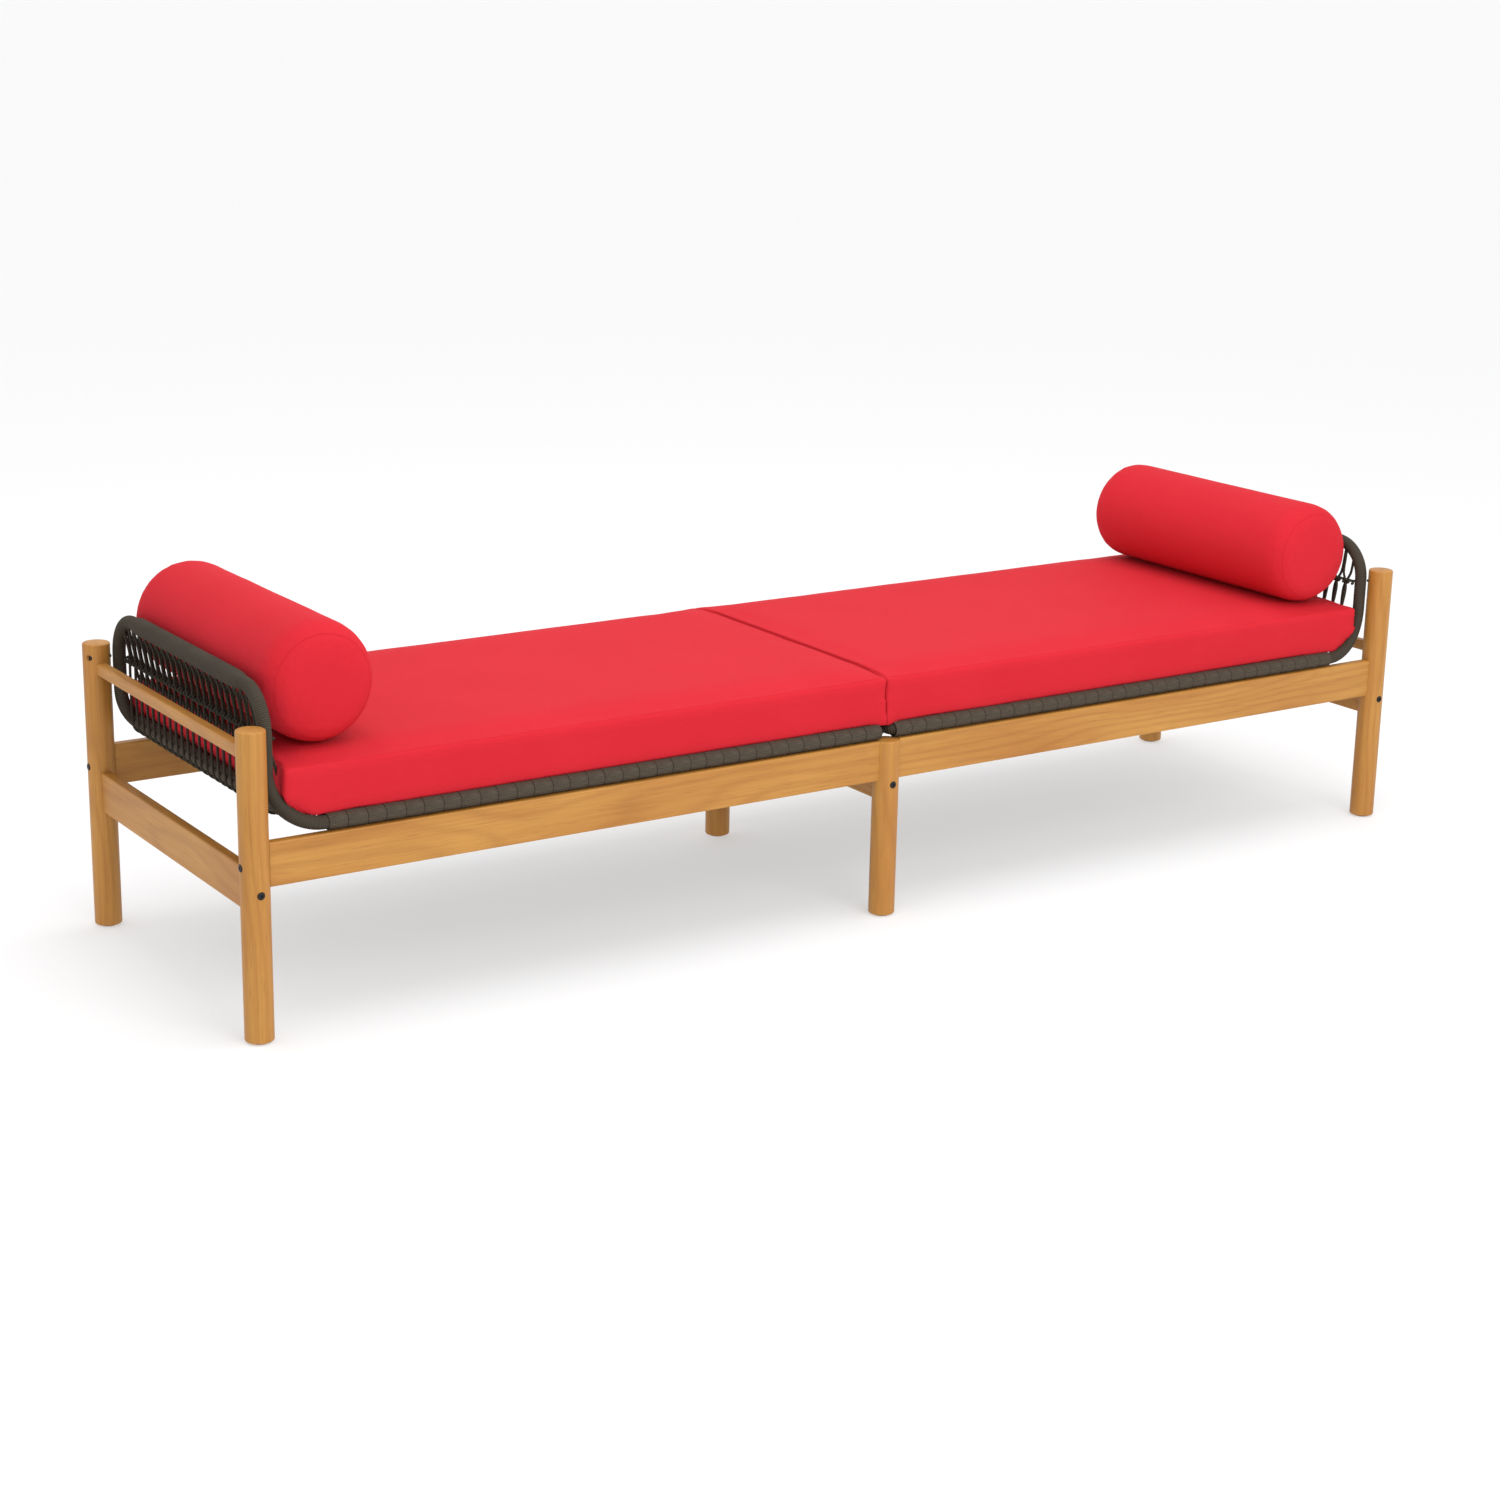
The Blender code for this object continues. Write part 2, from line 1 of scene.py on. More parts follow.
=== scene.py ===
"""Looks of the garden daybed: oiled wood, corded seats, seat cushions and bolsters round the fixed frame.

Frame of the model: +X along the bed, +Y to its back, +Z up, in metres.
"""

import json
import logging
import math
from collections.abc import Callable, Iterable, Sequence
from dataclasses import dataclass, field
from enum import Enum

import bpy
import numpy as np
from mathutils import Matrix, Vector, noise
from mathutils.bvhtree import BVHTree

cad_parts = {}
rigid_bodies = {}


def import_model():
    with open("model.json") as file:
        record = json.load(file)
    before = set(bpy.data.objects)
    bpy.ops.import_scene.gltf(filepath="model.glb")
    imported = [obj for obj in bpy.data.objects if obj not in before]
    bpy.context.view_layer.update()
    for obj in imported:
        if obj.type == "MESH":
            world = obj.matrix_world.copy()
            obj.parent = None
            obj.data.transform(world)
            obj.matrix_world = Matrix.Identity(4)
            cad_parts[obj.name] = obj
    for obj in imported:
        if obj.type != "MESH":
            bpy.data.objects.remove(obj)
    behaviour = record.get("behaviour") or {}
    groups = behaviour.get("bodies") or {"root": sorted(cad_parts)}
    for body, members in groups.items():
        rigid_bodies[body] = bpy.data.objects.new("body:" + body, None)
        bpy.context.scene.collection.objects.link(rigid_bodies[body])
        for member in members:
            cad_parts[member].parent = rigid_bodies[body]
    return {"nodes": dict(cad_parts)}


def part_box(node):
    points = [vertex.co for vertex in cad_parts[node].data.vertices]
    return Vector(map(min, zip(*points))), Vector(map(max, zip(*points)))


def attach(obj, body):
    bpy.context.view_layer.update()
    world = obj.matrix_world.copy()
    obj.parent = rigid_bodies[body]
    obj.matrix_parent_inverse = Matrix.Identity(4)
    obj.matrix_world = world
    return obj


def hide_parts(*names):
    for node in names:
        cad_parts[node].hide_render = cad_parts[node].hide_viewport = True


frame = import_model()

LOG = logging.getLogger("daybed")

Colour = tuple[float, float, float]


class Side(Enum):
    """The two ends of the bed, with the sign of X."""

    LEFT = -1
    RIGHT = 1

    @property
    def label(self) -> str:
        """The word that starts this end's node names."""
        return self.name.lower()


class Row(Enum):
    """The front and the rear of the bed, with the sign of Y."""

    FRONT = -1
    REAR = 1

    @property
    def label(self) -> str:
        """The word in this row's node names."""
        return self.name.lower()


class Axis(Enum):
    """The axis that a grain, a bolt or a rail runs along."""

    X = 0
    Y = 1
    Z = 2


# ---- Shader maths --------------------------------------------------------------------------------


class Signal:
    """A value that varies over a surface. Arithmetic on it adds Math nodes."""

    def __init__(self, graph: "Graph", socket: bpy.types.NodeSocket) -> None:
        """Wraps a socket.

        Args:
            graph: The graph that the socket belongs to.
            socket: The output socket that carries the value.
        """
        self.graph = graph
        self.socket = socket

    def _math(self, operation: str, *values: "Signal | float") -> "Signal":
        """Adds one Math node."""
        return self.graph.node("ShaderNodeMath", {"operation": operation}, dict(enumerate(values)))

    def __add__(self, other: "Signal | float") -> "Signal":
        """Sum."""
        return self._math("ADD", self, other)

    def __radd__(self, other: float) -> "Signal":
        """Sum with a number on the left."""
        return self._math("ADD", other, self)

    def __sub__(self, other: "Signal | float") -> "Signal":
        """Difference."""
        return self._math("SUBTRACT", self, other)

    def __rsub__(self, other: float) -> "Signal":
        """Difference from a number on the left."""
        return self._math("SUBTRACT", other, self)

    def __mul__(self, other: "Signal | float") -> "Signal":
        """Product."""
        return self._math("MULTIPLY", self, other)

    def __rmul__(self, other: float) -> "Signal":
        """Product with a number on the left."""
        return self._math("MULTIPLY", other, self)

    def __truediv__(self, other: "Signal | float") -> "Signal":
        """Quotient."""
        return self._math("DIVIDE", self, other)

    def __pow__(self, other: "Signal | float") -> "Signal":
        """Power."""
        return self._math("POWER", self, other)

    def wave(self) -> "Signal":
        """A sine that swings from 0 to 1 once for each unit of this value."""
        return self._math("SINE", self * (2 * math.pi)) * 0.5 + 0.5

    def larger(self, other: "Signal | float") -> "Signal":
        """The larger of two values."""
        return self._math("MAXIMUM", self, other)

    def root(self) -> "Signal":
        """Square root."""
        return self._math("SQRT", self)


class Graph:
    """The node tree of one material."""

    def __init__(self, name: str) -> None:
        """Starts a material with its Principled shader.

        Args:
            name: The material's name.
        """
        self.material = bpy.data.materials.new(name)
        self.material.use_nodes = True
        self.tree = self.material.node_tree
        self.shader = self.tree.nodes["Principled BSDF"]

    def feed(self, socket: bpy.types.NodeSocket, value: "Signal | float | Sequence[float]") -> None:
        """Links a signal to a socket, or sets the socket's own value.

        Args:
            socket: The input socket.
            value: A signal, a number, or a colour or vector.
        """
        if isinstance(value, Signal):
            self.tree.links.new(value.socket, socket)
        elif socket.type == "RGBA":
            socket.default_value = (*value, 1.0)
        else:
            socket.default_value = value

    def node(
        self,
        kind: str,
        settings: dict[str, object] | None = None,
        inputs: dict[str | int, object] | None = None,
        output: str | int = 0,
    ) -> Signal:
        """Adds a node.

        Args:
            kind: The node's type.
            settings: The node's own settings, set before its inputs; "stops" are a ramp's
                (place, grey) pairs.
            inputs: Values or signals for its sockets, by name or number.
            output: Which output to return.

        Returns:
            The chosen output as a signal.
        """
        made = self.tree.nodes.new(kind)
        for key, value in (settings or {}).items():
            if key == "stops":
                elements = made.color_ramp.elements
                for element, (place, grey) in zip(elements, value):
                    element.position = place
                    element.color = (grey, grey, grey, 1.0)
            else:
                setattr(made, key, value)
        for key, value in (inputs or {}).items():
            self.feed(made.inputs[key], value)
        return Signal(self, made.outputs[output])

    def place(self) -> tuple[Signal, Signal, Signal]:
        """The point on the object, as X, Y and Z in metres."""
        point = self.node("ShaderNodeTexCoord", output="Object")
        return tuple(self.node("ShaderNodeSeparateXYZ", None, {0: point}, axis) for axis in "XYZ")

    def strand_place(self) -> tuple[Signal, Signal]:
        """Metres along a strand and the share of the way round it."""
        point = self.node("ShaderNodeUVMap", {"uv_map": "strand"})
        return tuple(self.node("ShaderNodeSeparateXYZ", None, {0: point}, axis) for axis in "XY")

    def vector(self, x: "Signal | float", y: "Signal | float", z: "Signal | float") -> Signal:
        """Joins three values into a vector."""
        return self.node("ShaderNodeCombineXYZ", None, {0: x, 1: y, 2: z})

    def cloud(self, at: Signal, scale: float, detail: float = 2.0) -> Signal:
        """Smooth noise from 0 to 1 at a vector."""
        return self.node("ShaderNodeTexNoise", None, {"Vector": at, "Scale": scale, "Detail": detail})

    def ramp(self, value: Signal, low: float, high: float) -> Signal:
        """0 below one value, 1 above another, and a straight rise between them."""
        return self.node("ShaderNodeValToRGB", {"stops": ((low, 0.0), (high, 1.0))}, {0: value})

    def mix(self, share: "Signal | float", first: "Signal | Colour", second: "Signal | Colour") -> Signal:
        """Mixes two colours by a share of the second."""
        return self.node("ShaderNodeMix", {"data_type": "RGBA"}, {0: share, 6: first, 7: second}, 2)

    def finish(
        self,
        colour: "Signal | Colour",
        roughness: "Signal | float",
        relief: Signal | None = None,
        depth: float = 0.0,
        **uniform: float,
    ) -> bpy.types.Material:
        """Connects the shader.

        Args:
            colour: Base colour.
            roughness: Roughness.
            relief: Height of the surface, from 0 to 1.
            depth: The height in metres that 1 stands for.
            **uniform: Other sockets' own values, with _ for a space in their names.

        Returns:
            The finished material.
        """
        self.feed(self.shader.inputs["Base Color"], colour)
        self.feed(self.shader.inputs["Roughness"], roughness)
        if relief is not None:
            bump = self.node("ShaderNodeBump", None, {"Height": relief, "Distance": depth, "Strength": 1.0})
            self.feed(self.shader.inputs["Normal"], bump)
        for name, value in uniform.items():
            self.shader.inputs[name.replace("_", " ")].default_value = value
        return self.material


# ---- Finishes ------------------------------------------------------------------------------------


@dataclass(frozen=True)
class WoodFinish:
    """Honey-stained hardwood under a thin satin oil, its grain along one axis."""

    grain: Axis
    start: float
    light: Colour = (0.52, 0.250, 0.050)
    middle: Colour = (0.43, 0.178, 0.030)
    dark: Colour = (0.24, 0.075, 0.009)
    heart_distance: float = 0.045
    rings_per_metre: float = 60.0

    def material(self) -> bpy.types.Material:
        """Builds the material.

        Returns:
            Wood with broad tone, growth rings, fibres and pores.
        """
        graph = Graph(f"wood_{self.grain.name.lower()}_{round(self.start * 100)}")
        places = graph.place()
        along = places[self.grain.value] + self.start
        across, through = [p + self.start * 0.37 for p in places if p is not places[self.grain.value]]
        broad = graph.cloud(graph.vector(across, through, along * 0.22), 15.0, 3.0)
        wander = graph.cloud(graph.vector(across, through, along * 0.22), 9.0, 1.0)
        centre_across = across + along * 0.03 - self.start * 0.37 + self.heart_distance
        centre_through = through - self.start * 0.37 + self.heart_distance
        radius = (centre_across * centre_across + centre_through * centre_through).root()
        rings = (radius * self.rings_per_metre + wander * 7.0).wave() ** 2.5
        fibres = graph.cloud(graph.vector(across * 260.0, through * 260.0, along * 5.0), 1.0, 3.0)
        fine = graph.vector(across * 620.0, through * 620.0, along * 26.0)
        pores = graph.ramp(graph.cloud(fine, 1.0, 1.0), 0.62, 0.74)
        tone = graph.mix(graph.ramp(broad, 0.32, 0.68), self.light, self.middle)
        ringed = graph.mix(rings * 0.20, tone, self.dark)
        streaked = graph.mix(graph.ramp(fibres, 0.40, 0.75) * 0.22, ringed, self.dark)
        colour = graph.mix(pores * 0.30, streaked, self.dark)
        relief = fibres * 0.6 - pores * 0.6 + rings * 0.3
        roughness = 0.40 + fibres * 0.16
        return graph.finish(
            colour, roughness, relief, 0.00025,
            Specular_IOR_Level=0.35, Coat_Weight=0.05, Coat_Roughness=0.35,
        )


@dataclass(frozen=True)
class WindingFinish:
    """Fine cord wound tightly round a tube."""

    name: str
    pitch: float
    colour: Colour = (0.054, 0.042, 0.027)
    # groove is the painted shade in the grooves between turns, and also the colour of the darker fibres.
    groove: Colour = (0.016, 0.012, 0.008)
    bleached: Colour = (0.080, 0.062, 0.042)

    def material(self) -> bpy.types.Material:
        """Builds the material.

        Returns:
            Wound cord with painted shade in its grooves, its fibres at a slant.
        """
        graph = Graph(self.name)
        along, around = graph.strand_place()
        turns = along / self.pitch - around
        crown = turns.wave()
        fibres = graph.cloud(graph.vector(turns * 9.0, around * 40.0, along * 3.0), 1.0, 2.0)
        faded = graph.cloud(graph.vector(along * 14.0, around * 2.0, 0.0), 1.0, 2.0)
        body = graph.mix(graph.ramp(faded, 0.35, 0.70) * 0.6, self.colour, self.bleached)
        # Painted shade: the grooves between turns are darkened toward the groove colour.
        shaded = graph.mix((1.0 - crown) * 0.65, body, self.groove)
        colour = graph.mix(graph.ramp(fibres, 0.45, 0.75) * 0.35, shaded, self.groove)
        roughness = 0.72 + fibres * 0.15
        relief = crown * 0.5 + fibres * 0.5
        return graph.finish(colour, roughness, relief, 0.0003, Specular_IOR_Level=0.3)


@dataclass(frozen=True)
class RopeFinish:
    """Braided outdoor rope."""

    name: str
    plait: float = 0.007
    colour: Colour = (0.046, 0.038, 0.025)
    # The gap colour is painted shade in the gaps between the plaited strands, and also the colour of the
    # darker fibres.
    gap: Colour = (0.013, 0.010, 0.007)

    def material(self) -> bpy.types.Material:
        """Builds the material.

        Returns:
            Rope whose strands cross in both directions, with painted shade in the gaps between them.
        """
        graph = Graph(self.name)
        along, around = graph.strand_place()
        one_way = (along / self.plait + around * 2.0).wave()
        other_way = (along / self.plait - around * 2.0).wave()
        crossing = one_way.larger(other_way)
        fibres = graph.cloud(graph.vector(along * 900.0, around * 14.0, 0.0), 1.0, 2.0)
        # Painted shade: the gaps between the crossing strands are darkened.
        plaited = graph.mix((1.0 - crossing) * 0.8, self.colour, self.gap)
        colour = graph.mix(graph.ramp(fibres, 0.4, 0.8) * 0.3, plaited, self.gap)
        return graph.finish(colour, 0.80, crossing * 0.8 + fibres * 0.2, 0.0006, Specular_IOR_Level=0.25)


@dataclass(frozen=True)
class WebbingFinish:
    """Flat woven band with fine ribs across it."""

    name: str
    rib: float = 0.0026
    yarn: float = 0.0018
    colour: Colour = (0.072, 0.054, 0.036)
    # shade is the painted shade in the valleys between ribs and yarns.
    shade: Colour = (0.022, 0.016, 0.011)
    bleached: Colour = (0.125, 0.098, 0.070)

    def material(self) -> bpy.types.Material:
        """Builds the material.

        Returns:
            Ribbed band with single paler ribs and painted shade between ribs and yarns.
        """
        graph = Graph(self.name)
        along, across = graph.strand_place()
        ribs = (along / self.rib).wave()
        yarns = (across / self.yarn).wave()
        pale = graph.cloud(graph.vector(along * 520.0, across * 60.0, 0.0), 1.0, 2.0)
        body = graph.mix(graph.ramp(pale, 0.45, 0.75) * 0.7, self.colour, self.bleached)
        # Painted shade: the valleys between ribs and between yarns are darkened toward the shade colour.
        colour = graph.mix((1.0 - ribs) * 0.55 + (1.0 - yarns) * 0.15, body, self.shade)
        return graph.finish(colour, 0.78, ribs * 0.7 + yarns * 0.3, 0.0004, Specular_IOR_Level=0.3)


@dataclass(frozen=True)
class CanvasFinish:
    """Plain red outdoor canvas."""

    name: str
    colour: Colour = (0.59, 0.0165, 0.0285)
    # shade is the darker tone of the slubs and also the painted shade between threads.
    shade: Colour = (0.50, 0.011, 0.020)
    pale: Colour = (0.64, 0.021, 0.034)
    threads_per_metre: float = 900.0

    def material(self) -> bpy.types.Material:
        """Builds the material.

        Returns:
            Canvas with a plain weave, painted shade between its threads and slightly uneven colour.
        """
        graph = Graph(self.name)
        x, y, z = graph.place()
        warp = (x * self.threads_per_metre + z * self.threads_per_metre).wave()
        weft = (y * self.threads_per_metre + z * self.threads_per_metre * 0.5).wave()
        uneven = graph.cloud(graph.vector(x, y, z), 7.0, 3.0)
        slubs = graph.cloud(graph.vector(x * 40.0, y * 600.0, z * 200.0), 1.0, 2.0)
        weave = warp * weft
        body = graph.mix(graph.ramp(uneven, 0.35, 0.70) * 0.45, self.colour, self.pale)
        toned = graph.mix(graph.ramp(slubs, 0.5, 0.8) * 0.25, body, self.shade)
        # Painted shade: the gaps between threads are darkened toward the shade colour.
        colour = graph.mix((1.0 - weave) * 0.18, toned, self.shade)
        return graph.finish(
            colour, 0.84, weave * 0.7 + slubs * 0.3, 0.00022, Specular_IOR_Level=0.16
        )


@dataclass(frozen=True)
class MetalFinish:
    """Black-coated or zinc-plated steel."""

    name: str
    colour: Colour
    metallic: float
    roughness: float

    def material(self) -> bpy.types.Material:
        """Builds the material.

        Returns:
            Metal with faint smears in its gloss.
        """
        graph = Graph(self.name)
        x, y, z = graph.place()
        smears = graph.cloud(graph.vector(x, y, z), 420.0, 3.0)
        worn = tuple(min(1.0, value * 1.8 + 0.01) for value in self.colour)
        colour = graph.mix(graph.ramp(smears, 0.55, 0.85) * 0.4, self.colour, worn)
        return graph.finish(colour, self.roughness + smears * 0.18, smears, 0.00004, Metallic=self.metallic)


@dataclass(frozen=True)
class PlasticFinish:
    """Moulded black nylon."""

    name: str
    colour: Colour = (0.018, 0.018, 0.018)

    def material(self) -> bpy.types.Material:
        """Builds the material.

        Returns:
            Nylon with a fine moulded texture.
        """
        graph = Graph(self.name)
        x, y, z = graph.place()
        grain = graph.cloud(graph.vector(x, y, z), 1400.0, 2.0)
        colour = graph.mix(grain * 0.5, self.colour, (0.035, 0.035, 0.036))
        return graph.finish(colour, 0.48 + grain * 0.15, grain, 0.00008)


# ---- Mesh helpers --------------------------------------------------------------------------------


def deselect_all() -> None:
    """Leaves no object selected and none active."""
    if bpy.context.object is not None and bpy.context.object.mode != "OBJECT":
        bpy.ops.object.mode_set(mode="OBJECT")
    for item in bpy.context.scene.objects:
        item.select_set(False)


def make_active(piece: bpy.types.Object) -> None:
    """Selects one object and makes it the active one."""
    deselect_all()
    piece.select_set(True)
    bpy.context.view_layer.objects.active = piece


def apply_modifiers(piece: bpy.types.Object) -> None:
    """Applies all of an object's modifiers in order."""
    make_active(piece)
    for modifier in list(piece.modifiers):
        bpy.ops.object.modifier_apply(modifier=modifier.name)


def settle(piece: bpy.types.Object) -> None:
    """Puts an object's place, turn and scale into its mesh."""
    make_active(piece)
    bpy.ops.object.transform_apply(location=True, rotation=True, scale=True)


def dress(
    piece: bpy.types.Object,
    material: bpy.types.Material,
    body: str = "frame",
    replaced: Iterable[str] = (),
) -> None:
    """Gives a finished piece its material, slot, body and the nodes that it stands for.

    Args:
        piece: The finished piece.
        material: Its material.
        body: The body that it rides on.
        replaced: The nodes that it replaces.
    """
    piece.data.materials.clear()
    piece.data.materials.append(material)
    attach(piece, body)
    names = list(replaced)
    if names:
        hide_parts(*names)
    LOG.info("%s: %d faces", piece.name, len(piece.data.polygons))


def redress_node(node: str, material: bpy.types.Material) -> None:
    """Gives a kept node a new material."""
    slots = frame["nodes"][node].data.materials
    slots.clear()
    slots.append(material)
    LOG.info("%s: kept", node)


def select_faces(piece: bpy.types.Object, wanted: Callable[[bpy.types.MeshPolygon], bool]) -> None:
    """Selects an active object's faces by a test and opens edit mode on them.

    Args:
        piece: The object.
        wanted: Says whether a face is selected.
    """
    make_active(piece)
    bpy.ops.object.mode_set(mode="EDIT")
    bpy.ops.mesh.select_mode(type="FACE")
    bpy.ops.mesh.select_all(action="DESELECT")
    bpy.ops.object.mode_set(mode="OBJECT")
    for face in piece.data.polygons:
        face.select = wanted(face)
    bpy.ops.object.mode_set(mode="EDIT")


def cut_away(piece: bpy.types.Object, cutter: bpy.types.Object) -> None:
    """Subtracts one object from another and removes it."""
    boolean = piece.modifiers.new("cut", "BOOLEAN")
    boolean.operation = "DIFFERENCE"
    boolean.solver = "EXACT"
    boolean.object = cutter
    apply_modifiers(piece)
    bpy.data.objects.remove(cutter, do_unlink=True)


def cylinder(
    name: str, radius: float, depth: float, sides: int, at: Vector, along: Axis = Axis.Z
) -> bpy.types.Object:
    """Adds a cylinder along an axis.

    Args:
        name: The object's name.
        radius: Its radius.
        depth: Its length.
        sides: Its number of sides.
        at: Its middle.
        along: The axis that it runs along.

    Returns:
        The new object, its place in its mesh.
    """
    deselect_all()
    turn = {Axis.X: (0.0, math.pi / 2, 0.0), Axis.Y: (math.pi / 2, 0.0, 0.0), Axis.Z: (0.0, 0.0, 0.0)}[along]
    bpy.ops.mesh.primitive_cylinder_add(
        vertices=sides, radius=radius, depth=depth, location=at, rotation=turn
    )
    made = bpy.context.object
    made.name = name
    made.data.name = name
    settle(made)
    return made


def arc_points(centre: Sequence[float], radius: float, start: float, end: float, steps: int) -> np.ndarray:
    """Points on an arc in a plane, both ends included.

    Args:
        centre: The arc's centre.
        radius: Its radius.
        start: First angle in degrees.
        end: Last angle in degrees.
        steps: Number of stretches.

    Returns:
        An array of steps + 1 points with two coordinates.
    """
    angles = np.radians(np.linspace(start, end, steps + 1))
    return np.column_stack((centre[0] + radius * np.cos(angles), centre[1] + radius * np.sin(angles)))


def even_path(points: np.ndarray, spacing: float) -> np.ndarray:
    """Reads a path at even spacing.

    Args:
        points: The path's points.
        spacing: The wished distance between points.

    Returns:
        The path at even spacing, its ends kept.
    """
    steps = np.linalg.norm(np.diff(points, axis=0), axis=1)
    keep = np.concatenate(([True], steps > 1e-7))
    points = points[keep]
    length = np.concatenate(([0.0], np.cumsum(np.linalg.norm(np.diff(points, axis=0), axis=1))))
    count = max(2, round(length[-1] / spacing) + 1)
    at = np.linspace(0.0, length[-1], count)
    return np.column_stack([np.interp(at, length, points[:, axis]) for axis in range(3)])


def smooth_path(points: Sequence[Sequence[float]], spacing: float) -> np.ndarray:
    """A smooth curve through points.

    Args:
        points: The points that it passes through.
        spacing: The wished distance between its points.

    Returns:
        The curve's points, evenly spaced.
    """
    corner = np.array(points, float)
    ends = np.vstack((2 * corner[0] - corner[1], corner, 2 * corner[-1] - corner[-2]))
    share = np.linspace(0.0, 1.0, 9)[:-1, None]
    parts = []
    for a, b, c, d in zip(ends, ends[1:], ends[2:], ends[3:]):
        square = (2 * a - 5 * b + 4 * c - d) * share**2
        cube = (3 * b - a - 3 * c + d) * share**3
        bend = 2 * b + (c - a) * share + square + cube
        parts.append(bend / 2)
    parts.append(corner[-1:])
    return even_path(np.vstack(parts), spacing)


class Strands:
    """Collects round strands and flat bands into one mesh with a UV map: metres along, then the way round."""

    def __init__(self) -> None:
        """Starts empty."""
        self.points: list[np.ndarray] = []
        self.faces: list[list[int]] = []
        self.marks: list[tuple[float, float]] = []
        self.count = 0

    def _skin(self, rings: np.ndarray, length: np.ndarray, around: np.ndarray, closed: bool) -> None:
        """Adds the faces between rings of points.

        Args:
            rings: Points as an array of rings by sides by 3.
            length: Metres along at each ring.
            around: The mark at each side, with one more at the end.
            closed: Whether the last ring joins the first.
        """
        total, sides = rings.shape[:2]
        base = self.count
        for ring in range(total if closed else total - 1):
            here, there = base + ring * sides, base + (ring + 1) % total * sides
            first, second = length[ring], length[ring + 1]
            for side in range(sides):
                after = (side + 1) % sides
                self.faces.append([here + side, here + after, there + after, there + side])
                low, high = around[side], around[side + 1]
                self.marks += [(first, low), (first, high), (second, high), (second, low)]
        if not closed:
            self.faces.append([base + side for side in reversed(range(sides))])
            self.faces.append([base + (total - 1) * sides + side for side in range(sides)])
            self.marks += [(length[0], 0.0)] * sides + [(length[-1], 0.0)] * sides
        self.points.append(rings.reshape(-1, 3))
        self.count += total * sides

    def _frames(
        self, path: np.ndarray, closed: bool, start: np.ndarray | None
    ) -> tuple[np.ndarray, np.ndarray]:
        """Two directions square to a path at each point, carried along without twist."""
        if closed:
            tangent = np.roll(path, -1, 0) - np.roll(path, 1, 0)
        else:
            tangent = np.gradient(path, axis=0)
        tangent /= np.linalg.norm(tangent, axis=1)[:, None]
        if start is None:
            start = np.eye(3)[np.argmin(np.abs(tangent[0]))]
        sides = np.empty_like(path)
        side = start
        for index, direction in enumerate(tangent):
            side = side - direction * (side @ direction)
            side = side / np.linalg.norm(side)
            sides[index] = side
        return sides, np.cross(tangent, sides)

    def _lengths(self, path: np.ndarray, closed: bool) -> np.ndarray:
        """Metres along a path at each point, with the closing stretch when it is closed."""
        whole = np.vstack((path, path[:1])) if closed else path
        return np.concatenate(([0.0], np.cumsum(np.linalg.norm(np.diff(whole, axis=0), axis=1))))

    def round(
        self,
        path: np.ndarray,
        radius: "float | np.ndarray",
        sides: int = 8,
        pitch: float = 0.0,
        groove: float = 0.0,
        closed: bool = False,
    ) -> None:
        """Adds a round strand, or a tube with a winding on it.

        Args:
            path: Its centre line.
            radius: Its radius, or one for each point.
            sides: Its number of sides.
            pitch: The distance between turns of the winding, or 0 for a smooth strand.
            groove: How deep the grooves between the turns are.
            closed: Whether it joins up with itself.
        """
        side, other = self._frames(path, closed, None)
        length = self._lengths(path, closed)
        angle = np.linspace(0.0, 2 * math.pi, sides, endpoint=False)
        reach = np.broadcast_to(np.reshape(radius, (-1, 1)), (len(path), sides)).copy()
        if pitch:
            turns = length[: len(path), None] / pitch - angle[None, :] / (2 * math.pi)
            reach -= groove * (1.0 - np.abs(np.sin(math.pi * turns + math.pi / 4)))
        across = np.cos(angle)[None, :, None] * side[:, None, :]
        across = across + np.sin(angle)[None, :, None] * other[:, None, :]
        rings = path[:, None, :] + reach[:, :, None] * across
        self._skin(rings, length, np.linspace(0.0, 1.0, sides + 1), closed)

    def flat(self, path: np.ndarray, across: Sequence[float], width: float, thickness: float) -> None:
        """Adds a flat band whose width lies along one direction.

        Args:
            path: Its centre line, square to that direction.
            across: The direction of its width.
            width: Its width.
            thickness: Its thickness.
        """
        side, other = self._frames(path, False, np.array(across, float))
        round_edge = thickness * 0.35
        half_width, half = width / 2, thickness / 2
        outline = [
            (half_width, half - round_edge), (half_width - round_edge, half),
            (-half_width + round_edge, half), (-half_width, half - round_edge),
            (-half_width, round_edge - half), (round_edge - half_width, -half),
            (half_width - round_edge, -half), (half_width, round_edge - half),
        ]
        shape = np.array(outline)
        rings = path[:, None, :] + shape[None, :, :1] * side[:, None, :]
        rings = rings + shape[None, :, 1:] * other[:, None, :]
        marks = np.append(shape[:, 0], shape[0, 0])
        self._skin(rings, self._lengths(path, False), marks, False)

    def piece(self, name: str) -> bpy.types.Object:
        """Makes the collected strands one object.

        Args:
            name: The object's name.

        Returns:
            The new object.
        """
        mesh = bpy.data.meshes.new(name)
        mesh.from_pydata(np.vstack(self.points).tolist(), [], self.faces)
        layer = mesh.uv_layers.new(name="strand")
        layer.data.foreach_set("uv", np.array(self.marks, np.float32).ravel())
        mesh.shade_smooth()
        mesh.set_sharp_from_angle(angle=math.radians(50))
        made = bpy.data.objects.new(name, mesh)
        bpy.context.scene.collection.objects.link(made)
        return made


# ---- Wooden frame and its hardware ---------------------------------------------------------------


